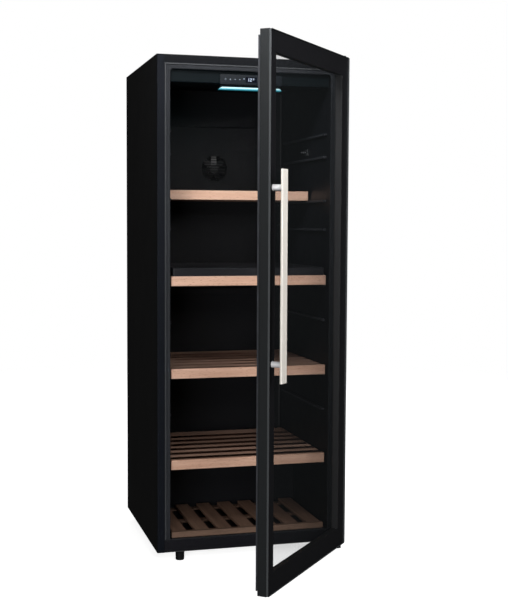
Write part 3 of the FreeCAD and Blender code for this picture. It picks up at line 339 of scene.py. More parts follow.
# Painted highlight: a lighter copy of the collar plastic for the crest of the collar's outer bead.
TRIM_PAINTED_HIGHLIGHT = plastic("collar_painted_highlight", (0.055, 0.058, 0.062), 0.35, **LOW_SPECULAR)
TRIM = plastic("collar_plastic", (0.0185, 0.020, 0.023), 0.42, **MATT)
SILL = plastic("sill_plastic", (0.0098, 0.0096, 0.012), 0.45, **MATT)
LEDGE = plastic("ledge_plastic", (0.02, 0.021, 0.025), 0.45, **LOW_SPECULAR)
HOUSING = plastic("housing_plastic", (0.0020, 0.0042, 0.0054), 0.5, **MATT)
DUCT = plastic("duct_plastic", (0.0035, 0.0038, 0.005), 0.45, **LOW_SPECULAR)
TRAY = plastic("tray_plastic", (0.011, 0.011, 0.013), 0.35, **LOW_SPECULAR)
PANEL = plastic("panel_gloss", (0.0080, 0.0105, 0.0135), 0.3, 2000, 0.01 * MM, **LOW_SPECULAR)
DISPLAY = plastic("display_gloss", (0.004, 0.005, 0.009), 0.08, 2000, 0.005 * MM)
FOOT = plastic("foot_plastic", (0.006, 0.006, 0.007), 0.5, 900, **LOW_SPECULAR)
INLET = plastic("inlet_plastic", (0.012, 0.012, 0.013), 0.4)
FAN_PLASTIC = plastic("fan_plastic", (0.015, 0.015, 0.016), 0.35)
BUSH = plastic("bush_plastic", (0.62, 0.62, 0.58), 0.4)
DRIP_PLASTIC = plastic("drip_plastic", (0.4, 0.42, 0.44), 0.5)
PROBE = plastic("probe_plastic", (0.03, 0.031, 0.034), 0.45)
LAMP_BOARD = plastic("lamp_board", (0.75, 0.8, 0.8), 0.5)
RUBBER = rubber("black_rubber", (0.014, 0.014, 0.015))
GASKET = rubber("gasket_rubber", (0.032, 0.034, 0.04))
BEECH = wood("beech", (0.66, 0.435, 0.325), (0.53, 0.32, 0.225))
BEECH_SLATS = wood("beech_slats", (0.66, 0.445, 0.345), (0.52, 0.32, 0.235))
RACK_WOOD = wood("rack_wood", (0.19, 0.117, 0.08), (0.118, 0.07, 0.048), ring=40.0)
RACK_WOOD_DEEP = wood("rack_slats", (0.28, 0.17, 0.118), (0.17, 0.10, 0.07), along="Y", ring=40.0)
HANDLE = brushed("handle_steel", (0.90, 0.85, 0.78), 0.45, metallic=0.35)
POST = brushed("post_steel", (0.80, 0.79, 0.80), 0.4, along="X", metallic=0.3)
FRAME = brushed("frame_anodised", (0.0145, 0.016, 0.017), 0.5, metallic=0.15, **LOW_SPECULAR)
SPACER = brushed("spacer_black", (0.012, 0.012, 0.013), 0.5, metallic=0.3)
ZINC = brushed("zinc_steel", (0.55, 0.55, 0.54), 0.35, along="X")
ALUMINIUM = brushed("fin_aluminium", (0.7, 0.71, 0.73), 0.3, along="X")
COPPER = brushed("copper_tube", (0.72, 0.33, 0.18), 0.32)
GLASS = pane("clear_glass", (0.012, 0.014, 0.015), 0.09)
GLASS_EDGE = plastic("ground_glass_edge", (0.055, 0.059, 0.062), 0.5, 900, **LOW_SPECULAR)
FRIT = plastic("black_frit", (0.0058, 0.0054, 0.0066), 0.35, **LOW_SPECULAR)
DIGITS = glow("display_digits", (0.62, 0.72, 0.9), 0.85)
ICONS = glow("panel_icons", (0.5, 0.58, 0.7), 0.3)
BOARD = circuit_board("circuit_board")
FOAM = foam("insulation_foam")


# ---- mesh helpers ----


def put_in_scene(name, data):
    """An object with this data, linked to the scene."""
    made = bpy.data.objects.new(name, data)
    bpy.context.scene.collection.objects.link(made)
    return made


def show(name, bm, materials, body, replaced=(), place=None):
    """Turns a bmesh into a finished piece on a body."""
    if place is not None:
        bm.transform(place)
    bmesh.ops.recalc_face_normals(bm, faces=bm.faces)
    for face in bm.faces:
        face.smooth = True
    for edge in bm.edges:
        edge.smooth = edge.calc_face_angle(0) < SHARP_EDGE
    mesh = bpy.data.meshes.new(name)
    bm.to_mesh(mesh)
    bm.free()
    piece = put_in_scene(name, mesh)
    for material in materials if isinstance(materials, list) else [materials]:
        mesh.materials.append(material)
    weighted = piece.modifiers.new("normals", "WEIGHTED_NORMAL")
    weighted.keep_sharp = True
    weighted.weight = 80
    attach(piece, body)
    if replaced:
        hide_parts(*replaced)


def show_on_door(name, bm, materials, replaced=()):
    """Shows a bmesh that is drawn in the door's own frame."""
    show(name, bm, materials, "door", replaced, DOOR_PLACE)


def add_box(bm, low, high, radius=0.8 * MM, steps=2, index=0):
    """Adds a box with rounded edges, at most LARGEST_ROUND of its thinnest side."""
    low, high = Vector(low), Vector(high)
    size = high - low
    verts = bmesh.ops.create_cube(bm, size=1)["verts"]
    for vert in verts:
        vert.co = Vector((low[i] + (vert.co[i] + 0.5) * size[i]) for i in range(3))
    edges = list({edge for vert in verts for edge in vert.link_edges})
    for face in {face for vert in verts for face in vert.link_faces}:
        face.material_index = index
    offset = min(radius, *(LARGEST_ROUND * s for s in size))
    if offset > 0:
        rounded = bmesh.ops.bevel(
            bm, geom=edges, offset=offset, segments=steps, profile=0.5, affect="EDGES", clamp_overlap=True
        )
        for face in rounded["faces"]:
            face.material_index = index


def skin(bm, rings):
    """Joins each closed ring of vertices to the next one with faces."""
    for a, b in zip(rings, rings[1:]):
        for i in range(len(a)):
            k = (i + 1) % len(a)
            bm.faces.new((a[i], a[k], b[k], b[i]))


def add_prism(bm, outline, axis, start, end, cut=0.0, inner=None):
    """Adds an outline, given in the two other axes, drawn out along an axis.

    With inner, a second outline, the prism is hollow. With cut, its ends are chamfered by that."""
    turn = {"X": (1, 2, 0), "Y": (0, 2, 1), "Z": (0, 1, 2)}[axis]

    def point(flat, along):
        at = [0.0, 0.0, 0.0]
        at[turn[0]], at[turn[1]], at[turn[2]] = flat[0], flat[1], along
        return at

    def ring(flat, along):
        return [bm.verts.new(point(p, along)) for p in flat]

    def edges_of(loop):
        return [bm.edges.get((loop[i], loop[(i + 1) % len(loop)])) for i in range(len(loop))]

    def shrunk(flat, amount):
        middle = Vector((sum(p[0] for p in flat) / len(flat), sum(p[1] for p in flat) / len(flat)))
        found = []
        for p in flat:
            towards = middle - Vector(p)
            length = max(towards.length, NOTHING)
            found.append(tuple(Vector(p) + towards * (amount / length)))
        return found

    if inner is not None:
        outer = [ring(outline, start), ring(outline, end)]
        hole = [ring(inner, start), ring(inner, end)]
        skin(bm, outer)
        skin(bm, hole)
        for outer_loop, hole_loop in zip(outer, hole):
            edges = edges_of(outer_loop) + edges_of(hole_loop)
            bmesh.ops.triangle_fill(bm, edges=edges, use_beauty=True)
        return
    if cut:
        levels = [(start, cut), (start + cut, 0), (end - cut, 0), (end, cut)]
        rings = [ring(shrunk(outline, amount) if amount else outline, along) for along, amount in levels]
    else:
        rings = [ring(outline, start), ring(outline, end)]
    skin(bm, rings)
    bm.faces.new(rings[0])
    bm.faces.new(list(reversed(rings[-1])))


def arc(centre, radius, start, end, steps=ROUND_STEPS):
    """Points of an arc, angles in degrees."""
    found = []
    for i in range(steps + 1):
        angle = math.radians(start + (end - start) * i / steps)
        found.append((centre[0] + radius * math.cos(angle), centre[1] + radius * math.sin(angle)))
    return found


def rounded_rectangle(x0, x1, y0, y1, radius, steps=ROUND_STEPS):
    """Points round a rectangle with rounded corners."""
    r = max(radius, LEAST_RADIUS)
    return (
        arc((x1 - r, y1 - r), r, 0, 90, steps)
        + arc((x0 + r, y1 - r), r, 90, 180, steps)
        + arc((x0 + r, y0 + r), r, 180, 270, steps)
        + arc((x1 - r, y0 + r), r, 270, 360, steps)
    )


def add_ring(bm, box, profile, open_bottom=False, steps=ROUND_STEPS):
    """Adds a frame round a rectangle of X and Z. Its section is a closed list of
    (inset from the rectangle, Y, corner radius)."""
    x0, x1, z0, z1 = box
    loops = []
    for inset, depth, radius in profile:
        if open_bottom:
            r = max(radius, LEAST_RADIUS)
            left, right, top = x0 + inset, x1 - inset, z1 - inset
            flat = (
                [(left, z0)]
                + arc((left + r, top - r), r, 180, 90, steps)
                + arc((right - r, top - r), r, 90, 0, steps)
                + [(right, z0)]
            )
        else:
            flat = rounded_rectangle(x0 + inset, x1 - inset, z0 + inset, z1 - inset, radius, steps)
        loops.append([bm.verts.new((x, depth, z)) for x, z in flat])
    count = len(loops[0])
    around = count - 1 if open_bottom else count
    for k in range(len(loops)):
        a, b = loops[k], loops[(k + 1) % len(loops)]
        for i in range(around):
            j = (i + 1) % count
            bm.faces.new((a[i], a[j], b[j], b[i]))
    if open_bottom:
        bm.faces.new([loop[0] for loop in loops])
        bm.faces.new([loop[-1] for loop in reversed(loops)])


def add_lathe(bm, profile, place, steps=32, index=0):
    """Adds a turned shape. profile is (radius, height) from one end of the axis to the other."""
    rings = []
    for radius, height in profile:
        if radius < NOTHING:
            rings.append([bm.verts.new(place @ Vector((0, 0, height)))])
            continue
        turns = [2 * math.pi * i / steps for i in range(steps)]
        round_points = [(radius * math.cos(turn), radius * math.sin(turn), height) for turn in turns]
        rings.append([bm.verts.new(place @ Vector(point)) for point in round_points])
    for a, b in zip(rings, rings[1:]):
        for i in range(steps):
            j = (i + 1) % steps
            if len(a) == 1:
                face = bm.faces.new((a[0], b[i], b[j]))
            elif len(b) == 1:
                face = bm.faces.new((a[i], b[0], a[j]))
            else:
                face = bm.faces.new((a[i], a[j], b[j], b[i]))
            face.material_index = index


def facing_front(point):
    """The place of a turned shape that starts at a point, with its axis to -Y."""
    return Matrix.Translation(point) @ Matrix.Rotation(math.radians(90), 4, "X")


def outer_first(low, high, outer_is_low):
    """A bar's outer edge, the direction inward from it, and its inner edge."""
    if outer_is_low:
        return low, 1, high
    return high, -1, low


def plate(low, high, corner, cut, front=0, back=0):
    """A bmesh of a flat plate that fills a box, less what is taken off its front and back."""
    bm = bmesh.new()
    outline = rounded_rectangle(low.x, high.x, low.z, high.z, corner)
    add_prism(bm, outline, "Y", high.y - back, low.y + front, cut)
    return bm


def boxes_piece(name, boxes, radius, material, body, replaced, steps=2):
    """One piece made of rounded boxes."""
    bm = bmesh.new()
    for low, high in boxes:
        add_box(bm, low, high, radius, steps)
    show(name, bm, material, body, replaced)


def soften(node, radius, material, steps=2):
    """Rounds a CAD node's sharp edges with modifiers and gives it its material."""
    same_point, same_plane, edge = 0.005 * MM, math.radians(1.5), math.radians(25)
    piece = frame["nodes"][node]
    weld = piece.modifiers.new("weld", "WELD")
    weld.merge_threshold = same_point
    flat = piece.modifiers.new("flat", "DECIMATE")
    flat.decimate_type = "DISSOLVE"
    flat.angle_limit = same_plane
    if radius:
        bevel = piece.modifiers.new("edges", "BEVEL")
        bevel.width = radius
        bevel.segments = steps
        bevel.limit_method = "ANGLE"
        bevel.angle_limit = edge
    dress(node, material)


def dress(node, material):
    """Gives a CAD node's object its material."""
    piece = frame["nodes"][node]
    if not piece.material_slots:
        piece.data.materials.append(material)
    for place in piece.material_slots:
        place.material = material


# ---- cabinet shell ----

SHEET = 1.2 * MM
FOLD = 3 * MM
LINER_WALL = 1.6 * MM
BAY_FRONT, BAY_TOP = 0.090, 0.305


def folded_corner(across, front, towards):
    """Plan of a sheet that turns a rounded corner at (across, front): outside points, then inside ones.
    towards is +1 if the return runs to +X."""
    outside = arc((0, 0), FOLD, 180, 270)
    inside = arc((0, 0), FOLD - SHEET, 270, 180)
    centre = (across + towards * FOLD, front + FOLD)
    return (
        [(centre[0] + towards * x, centre[1] + y) for x, y in outside],
        [(centre[0] + towards * x, centre[1] + y) for x, y in inside],
    )


def make_side_skins():
    """Side sheets, each turned round its front corner into a flange with a chamfered lip."""
    for name in ("left", "right"):
        node = f"side_panel_{name}"
        low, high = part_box(node)
        outer, towards, lip = outer_first(low.x, high.x, name == "left")
        front, back = low.y, high.y
        outside, inside = folded_corner(outer, front, towards)
        outline = (
            [(outer, back)]
            + outside
            + [(lip - towards * 0.6 * MM, front), (lip, front + 0.6 * MM), (lip, front + SHEET)]
            + inside
            + [(outer + towards * SHEET, back)]
        )
        bm = bmesh.new()
        add_prism(bm, outline, "Z", low.z, high.z)
        # The front faces of each sheet take the bluer copy of the paint: painted light on the same steel.
        for face in bm.faces:
            if face.calc_center_median().y < front + 0.7 * FOLD:
                face.material_index = 1
        show(f"side_skin_{name}", bm, [BLACK_PAINT, FLANGE_PAINTED_LIGHT], "cabinet", [node])


def make_top_skin():
    """Top sheet with a rounded front edge, and a front flange between the side flanges."""
    low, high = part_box("top_panel")
    flange_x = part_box("side_panel_left")[1].x + 0.3 * MM
    under = high.z - SHEET
    lid = (
        [(low.y, under - 0.4 * MM)]
        + arc((low.y + FOLD, high.z - FOLD), FOLD, 180, 90)
        + [(high.y - 1 * MM, high.z), (high.y, high.z - 1 * MM), (high.y, under), (low.y + 2 * SHEET, under)]
        + [(low.y + SHEET, under - 0.4 * MM)]
    )
    bm = bmesh.new()
    add_prism(bm, lid, "X", low.x, high.x)
    flange_low = (flange_x, low.y + 0.1 * MM, low.z)
    # The top flange takes the darker copy of the flange paint: painted shade.
    add_box(bm, flange_low, (-flange_x, low.y + SHEET, under), 0.4 * MM, index=1)
    show("top_skin", bm, [BLACK_PAINT, TOP_FLANGE_PAINTED_SHADE], "cabinet", ["top_panel"])


def make_collar():
    """Moulded trim round the opening: a raised bead on each edge of a shallow band."""
    low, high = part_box("opening_collar")
    width = high.x - (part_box("inner_liner")[1].x - LINER_WALL)
    front, back = low.y, high.y
    profile = [
        (0.0, back, 2 * MM),
        (0.0, front + 3.6 * MM, 2 * MM),
        (2.2 * MM, front + 3.4 * MM, 2 * MM),
        (2.5 * MM, front + 0.7 * MM, 2 * MM),
        (3.3 * MM, front, 3 * MM),
        (5.6 * MM, front + 0.2 * MM, 3 * MM),
        (6.6 * MM, front + 1.4 * MM, 4 * MM),
        (7.4 * MM, front + 3.2 * MM, 5 * MM),
        (0.66 * width, front + 3.4 * MM, 11 * MM),
        (0.76 * width, front + 2.4 * MM, 12 * MM),
        (0.86 * width, front + 1.7 * MM, 13 * MM),
        (width - 1.4 * MM, front + 1.9 * MM, 14 * MM),
        (width - 0.3 * MM, front + 3.2 * MM, 14 * MM),
        (width, front + 0.8 * (back - front), 14 * MM),
        (width, back, 14 * MM),
    ]
    bm = bmesh.new()
    add_ring(bm, (low.x, high.x, low.z, high.z), profile, open_bottom=True, steps=8)
    # The front faces of the outer bead take the lighter copy of the collar plastic: a painted highlight
    # along its crest.
    for face in bm.faces:
        if face.calc_center_median().y < front + 0.4 * MM:
            face.material_index = 1
    show("collar_trim", bm, [TRIM, TRIM_PAINTED_HIGHLIGHT], "cabinet", ["opening_collar"])


def make_sill():
    """Plinth strip below the opening, with a groove and a grey lip along the cavity floor; the lip's top
    takes the lighter collar plastic as a painted highlight line.
    """
    low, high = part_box("bottom_sill")
    front, back = low.y, high.y
    outline = [
        (back, low.z),
        (front + 1.5 * MM, low.z),
        (front, low.z + 1.5 * MM),
        (front, high.z - 9 * MM),
        (front + 0.9 * MM, high.z - 8 * MM),
        (front + 0.9 * MM, high.z - 5.5 * MM),
        (front, high.z - 4.5 * MM),
        *arc((front + 2.5 * MM, high.z - 2.5 * MM), 2.5 * MM, 180, 90),
        (back, high.z),
    ]
    bm = bmesh.new()
    add_prism(bm, outline, "X", low.x, high.x)
    # The top faces of the lip take the lighter collar plastic: a painted highlight along the cavity floor's
    # front edge.
    for face in bm.faces:
        if face.calc_center_median().z > high.z - 2.4 * MM:
            face.material_index = 1
    show("sill_strip", bm, [SILL, TRIM], "cabinet", ["bottom_sill"])


def make_liner():
    """Vacuum-formed liner: rounded inside corners, with the step over the compressor bay."""
    low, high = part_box("inner_liner")
    left, right = low.x + LINER_WALL, high.x - LINER_WALL
    floor, ceiling = low.z + LINER_WALL, high.z - LINER_WALL
    front, back = low.y, high.y - LINER_WALL
    side = [
        (front, floor), (BAY_FRONT, floor), (BAY_FRONT, BAY_TOP),
        (back, BAY_TOP), (back, ceiling), (front, ceiling),
    ]
    bm = bmesh.new()
    rings = [[bm.verts.new((x, y, z)) for y, z in side] for x in (left, right)]
    for i in range(len(side) - 1):
        bm.faces.new((rings[0][i], rings[0][i + 1], rings[1][i + 1], rings[1][i]))
    for ring in rings:
        bm.faces.new(ring)
    open_edges = [e for e in bm.edges if len(e.link_faces) == 1]
    folds = [e for e in bm.edges if e not in open_edges]
    bmesh.ops.bevel(
        bm, geom=folds, offset=9 * MM, segments=4, profile=0.5, affect="EDGES", clamp_overlap=True
    )
    bmesh.ops.recalc_face_normals(bm, faces=bm.faces)
    middle = Vector((0, (front + back) / 2, (floor + ceiling) / 2))
    face = max(bm.faces, key=lambda f: f.calc_area())
    if (face.calc_center_median() - middle).dot(face.normal) > 0:
        bmesh.ops.reverse_faces(bm, faces=bm.faces)
    show("liner_shell", bm, LINER, "cabinet", ["inner_liner"])


def make_ledges():
    """Shelf runners on the side walls, with rounded edges."""
    runners = islands("shelf_supports")
    boxes_piece("shelf_runners", runners, 1.5 * MM, LEDGE, "cabinet", ["shelf_supports"], 3)


# ---- shelves and rack ----


def make_shelves():
    """Beech shelves: a front rail with eased edges, and the slats and bearers behind it."""
    for letter in "abcd":
        body = f"shelf_{letter}"
        rail, deck = f"{body}_front", f"{body}_deck"
        boxes_piece(f"{body}_rail", islands(rail), 1.6 * MM, BEECH, body, [rail], 3)
        boxes_piece(f"{body}_slats", islands(deck), 1.2 * MM, BEECH_SLATS, body, [deck])


def make_tray():
    """Display tray of sheet, with a rounded rim and ribs pressed into its floor."""
    low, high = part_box("display_tray")
    wall, corner, ribs, margin = 2.0 * MM, 6 * MM, 12, 20 * MM

    def around(inset):
        return rounded_rectangle(
            low.x + inset, high.x - inset, low.y + inset, high.y - inset, corner - inset
        )

    levels = [
        (0, low.z),
        (0, high.z - 1 * MM),
        (wall / 2, high.z),
        (wall, high.z - 1 * MM),
        (wall, low.z + wall),
    ]
    bm = bmesh.new()
    rings = [[bm.verts.new((x, y, z)) for x, y in around(inset)] for inset, z in levels]
    skin(bm, rings)
    bm.faces.new(list(reversed(rings[0])))
    bm.faces.new(rings[-1])
    pitch = (high.x - low.x - 2 * margin) / ribs
    for i in range(ribs + 1):
        across = low.x + margin + i * pitch
        add_box(bm, (across - 2 * MM, low.y + margin, low.z + wall / 2),
                (across + 2 * MM, high.y - margin, low.z + wall + 1 * MM), 0.9 * MM)
    show("tray_shell", bm, TRAY, "shelf_b", ["display_tray"])


def make_rack():
    """Brown floor rack: a front board across slats that run to the back."""
    slat_length = 0.2
    boxes = islands("floor_rack")
    bm = bmesh.new()
    for low, high in boxes:
        if (high - low).y <= slat_length:
            add_box(bm, low, high, 1.2 * MM, 3)
    for low, high in boxes:
        if (high - low).y > slat_length:
            add_box(bm, low, high, 1.2 * MM, index=1)
    show("rack_boards", bm, [RACK_WOOD, RACK_WOOD_DEEP], "cabinet", ["floor_rack"])


# ---- controls and lamp ----

SEGMENTS = {"1": "bc", "2": "abged", "degree": "abfgcde"}
MARK_DEPTH = 0.1 * MM


def make_housing():
    """Fascia under the ceiling: a shell with a rounded lower edge, closed at both ends."""
    low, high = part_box("control_housing")
    wall = 2.5 * MM
    front = low.y
    outline = [
        (high.y, low.z),
        *reversed(arc((front + 4 * MM, low.z + 4 * MM), 4 * MM, 180, 270)),
        (front, high.z - 3 * MM),
        (front + 1.5 * MM, high.z),
        (front + wall, high.z),
        (front + wall, low.z + wall),
        (high.y - wall, low.z + wall),
        (high.y - wall, high.z),
        (high.y, high.z),
    ]
    bm = bmesh.new()
    add_prism(bm, outline, "X", low.x + wall, high.x - wall)
    for end in (low.x, high.x - wall):
        add_box(bm, (end, low.y + 0.5 * MM, low.z), (end + wall, high.y, high.z - 0.2 * MM), 0.8 * MM)
    show("housing_shell", bm, HOUSING, "cabinet", ["control_housing"])


def add_digit(bm, figure, left, low, face, width, height):
    """Seven-segment figure on a face that looks to -Y."""
    bar = 0.16 * height
    half = height / 2
    proud = 0.15 * MM
    places = {
        "a": ((0, height - bar), (width, height)),
        "g": ((0, half - bar / 2), (width, half + bar / 2)),
        "d": ((0, 0), (width, bar)),
        "f": ((0, half), (bar, height)),
        "b": ((width - bar, half), (width, height)),
        "e": ((0, 0), (bar, half)),
        "c": ((width - bar, 0), (width, half)),
    }
    for segment in SEGMENTS[figure]:
        (x0, z0), (x1, z1) = places[segment]
        add_box(bm, (left + x0, face - proud, low + z0), (left + x1, face + proud, low + z1), 0.05 * MM, 1)


def make_panel():
    """Glossy touch panel with rounded corners, and the display's dark pane."""
    panel = plate(*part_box("control_panel_cover"), 4 * MM, 0.5 * MM)
    show("touch_panel", panel, PANEL, "cabinet", ["control_panel_cover"])
    dark_pane = plate(*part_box("display_window"), 1.5 * MM, 0.1 * MM, front=0.1 * MM)
    show("display_pane", dark_pane, DISPLAY, "cabinet", ["display_window"])


def make_figure():
    """Lit figure on the display: two digits and a degree mark."""
    low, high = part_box("display_window")
    height = 11 * MM
    base = (low.z + high.z) / 2 - height / 2
    front = low.y + 0.15 * MM
    bm = bmesh.new()
    add_digit(bm, "1", -14.5 * MM, base, front, 6 * MM, height)
    add_digit(bm, "2", -5 * MM, base, front, 6.5 * MM, height)
    add_digit(bm, "degree", 5.5 * MM, base + height * 0.5, front, 4.5 * MM, height * 0.5)
    show("display_figure", bm, DIGITS, "cabinet")


def make_key_marks():
    """Small generic key marks on the panel, and a round status light."""
    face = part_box("control_panel_cover")[0].y
    low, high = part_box("display_window")
    middle = (low.z + high.z) / 2
    mark = face - 0.05 * MM
    first, pitch = -92, 17
    bm = bmesh.new()

    def add_bar(across, half_width, bottom, top):
        add_box(bm, (across - half_width, mark - MARK_DEPTH, middle + bottom),
                (across + half_width, mark, middle + top), 0)

    for i, kind in enumerate(("ring", "bulb", "up", "down")):
        across = (first + pitch * i) * MM
        place = facing_front((across, mark, middle))
        if kind == "ring":
            inside, outside = 2.2 * MM, 2.9 * MM
            profile = [(inside, 0), (inside, MARK_DEPTH), (outside, MARK_DEPTH), (outside, 0)]
            add_lathe(bm, profile, place, 24)
            add_bar(across, 0.35 * MM, 0, 3.4 * MM)
        elif kind == "bulb":
            add_lathe(bm, [(0, MARK_DEPTH), (2.1 * MM, MARK_DEPTH), (2.1 * MM, 0)], place, 24)
            add_bar(across, 1.1 * MM, -3.4 * MM, -2.6 * MM)
        else:
            tip = 2.3 * MM if kind == "up" else -2.3 * MM
            base = middle - tip * 0.6
            outline = [(across - 2.6 * MM, base), (across + 2.6 * MM, base), (across, middle + tip)]
            add_prism(bm, outline, "Y", mark, mark - MARK_DEPTH)
    show("key_marks", bm, ICONS, "cabinet")
    bm = bmesh.new()
    place = facing_front((low.x - 6 * MM, face, middle + 3 * MM))
    add_lathe(bm, [(0, 0.25 * MM), (1.1 * MM, 0.15 * MM), (1.5 * MM, 0)], place, 20)
    show("status_light", bm, DIGITS, "cabinet")


def make_lamp():
    """Lamp under the fascia: a dark carrier, and a lit lens below it with slanted ends."""
    low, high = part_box("light_diffuser")
    lens_low, lens_top = (low.z + share * (high.z - low.z) for share in (0.24, 0.56))
    bm = bmesh.new()
    carrier_low = (low.x + 3 * MM, low.y + 2 * MM, lens_top)
    add_box(bm, carrier_low, (high.x - 3 * MM, high.y - 2 * MM, high.z))
    show("lamp_carrier", bm, HOUSING, "cabinet", ["light_diffuser"])
    bm = bmesh.new()
    left, right = (
        [(end, lens_low), (end + inward * 1 * MM, lens_low + 1 * MM), (end + inward * 9 * MM, lens_top)]
        for end, inward in ((low.x, 1), (high.x, -1))
    )
    add_prism(bm, left + list(reversed(right)), "Y", low.y, high.y, cut=1.2 * MM)
    lens = lit_lens("lamp_lens", lens_low, lens_top, 1.15)
    show("lamp_lens", bm, lens, "cabinet", ["light_diffuser"])


# ---- door ----

SPACER_WIDTH = 6 * MM


def make_stiles():
    """Full-height anodised profiles at the door's sides, with a groove at each face."""
    wall = 1.8 * MM
    groove = 1.0 * MM
    for name in ("free", "hinge"):
        node = f"door_stile_{name}"
        low, high = door_box(node)
        outside, inward, far = outer_first(low.x, high.x, name == "free")
        outline = [
            (far, low.y),
            (outside + inward * 2.0 * MM, low.y),
            (outside + inward * 2.0 * MM, low.y + groove),
            (outside + inward * 0.4 * MM, low.y + groove),
            (outside, low.y + groove + 0.4 * MM),
            (outside, high.y - 4.0 * MM),
            (outside + inward * 0.8 * MM, high.y - 3.6 * MM),
            (outside + inward * 0.8 * MM, high.y - 2.8 * MM),
            (outside, high.y - 2.4 * MM),
            (outside, high.y - 0.5 * MM),
            (outside + inward * 0.5 * MM, high.y),
            (far - inward * 0.8 * MM, high.y),
            (far, high.y - 0.8 * MM),
        ]
        hole = [
            (far - inward * wall, low.y + wall),
            (outside + inward * (wall + 1 * MM), low.y + wall),
            (outside + inward * (wall + 1 * MM), high.y - wall),
            (far - inward * wall, high.y - wall),
        ]
        bm = bmesh.new()
        add_prism(bm, outline, "Z", low.z, high.z, inner=hole)
        show_on_door(f"stile_{name}", bm, FRAME, [node])


def make_rails():
    """Anodised rails between the stiles, with a groove at the outer face."""
    groove = 1.0 * MM
    end_gap = 0.1 * MM
    for name in ("bottom", "top"):
        node = f"door_rail_{name}"
        low, high = door_box(node)
        outside, inward, far = outer_first(low.z, high.z, name == "bottom")
        outline = [
            (low.y, far),
            (low.y, outside + inward * 2.0 * MM),
            (low.y + groove, outside + inward * 2.0 * MM),
            (low.y + groove, outside + inward * 0.4 * MM),
            (low.y + groove + 0.4 * MM, outside),
            (high.y - 0.5 * MM, outside),
            (high.y, outside + inward * 0.5 * MM),
            (high.y, far - inward * 0.8 * MM),
            (high.y - 0.8 * MM, far),
        ]
        bm = bmesh.new()
        add_prism(bm, outline, "X", low.x + end_gap, high.x - end_gap)
        show_on_door(f"rail_{name}", bm, FRAME, [node])


def make_glass():
    """Toughened outer pane with ground edges and a black printed border, and the inner pane."""
    low, high = door_box("door_outer_glass")
    corner = 6 * MM
    print_depth = 0.3 * MM
    squarely = 0.9
    bm = plate(low, high, corner, 0.5 * MM, back=print_depth)
    bmesh.ops.recalc_face_normals(bm, faces=bm.faces)
    for face in bm.faces:
        face.material_index = 0 if abs(face.normal.y) > squarely else 1
    show_on_door("outer_pane", bm, [GLASS, GLASS_EDGE], ["door_outer_glass"])
    inset = 0.2 * MM
    clear = 0.05 * MM
    outline = rounded_rectangle(low.x + inset, high.x - inset, low.z + inset, high.z - inset, corner)
    window = rounded_rectangle(*window_box(), 0.4 * MM)
    bm = bmesh.new()
    add_prism(bm, outline, "Y", high.y - clear, high.y - print_depth + clear, inner=window)
    show_on_door("printed_border", bm, FRIT)
    inner_pane = plate(*door_box("door_inner_glass"), 1 * MM, 0.4 * MM)
    show_on_door("inner_pane", inner_pane, GLASS, ["door_inner_glass"])


def window_box():
    """The see-through window: the inside edges of the spacer between the panes."""
    low, high = door_box("glass_spacer")
    return low.x + SPACER_WIDTH, high.x - SPACER_WIDTH, low.z + SPACER_WIDTH, high.z - SPACER_WIDTH


def make_spacer():
    """Black warm-edge spacer between the panes, with bevelled sight edges."""
    low, high = door_box("glass_spacer")
    sunk, corner = 0.4 * MM, 1 * MM
    front, back = low.y + 0.1 * MM, high.y - 0.1 * MM
    bevelled = SPACER_WIDTH - 1.2 * MM
    profile = [
        (sunk, front, corner),
        (sunk, back, corner),
        (bevelled, back, corner),
        (SPACER_WIDTH, high.y - 1.6 * MM, corner),
        (SPACER_WIDTH, low.y + 1.6 * MM, corner),
        (bevelled, front, corner),
    ]
    bm = bmesh.new()
    add_ring(bm, (low.x, high.x, low.z, high.z), profile)
    show_on_door("pane_spacer", bm, SPACER, ["glass_spacer"])


def make_gasket():
    """Bellows seal: a foot on the frame, a fold, and the magnet chamber that meets the cabinet."""
    low, high = door_box("door_gasket")
    width = 11.5 * MM
    depth = high.y - low.y
    shares = [
        (0.05, 0.0), (0.0, 0.12), (0.09, 0.26), (0.09, 0.34),
        (0.0, 0.46), (0.0, 0.86), (0.08, 0.97), (0.16, 1.0),
        (0.84, 1.0), (0.92, 0.97), (1.0, 0.86), (1.0, 0.46),
        (0.91, 0.34), (0.91, 0.26), (1.0, 0.12), (0.95, 0.0),
    ]
    profile = [(inward * width, low.y + back * depth, 0.6 * MM) for inward, back in shares]
    bm = bmesh.new()
    add_ring(bm, (low.x, high.x, low.z, high.z), profile, steps=2)
    show_on_door("bellows_seal", bm, GASKET, ["door_gasket"])


def make_handle():
    """Flat pull of brushed steel on two turned posts with a seat ring."""
    low, high = door_box("handle_bar")
    bm = bmesh.new()
    add_box(bm, low, high, 1.2 * MM, 4)
    show_on_door("pull_bar", bm, HANDLE, ["handle_bar"])
    low, high = door_box("handle_posts")
    radius = (high.x - low.x) / 2
    neck = radius - 0.6 * MM
    length = high.y - low.y
    profile = [
        (0, 0),
        (radius - 0.3 * MM, 0),
        (radius, 0.3 * MM),
        (radius, 2.2 * MM),
        (neck, 2.6 * MM),
        (neck, length - 0.4 * MM),
        (radius - 1.0 * MM, length),
        (0, length),
    ]
    bm = bmesh.new()
    for level in (low.z + radius, high.z - radius):
        add_lathe(bm, profile, facing_front(((low.x + high.x) / 2, high.y, level)), 40)
    show_on_door("pull_posts", bm, POST, ["handle_posts"])


# ---- feet ----


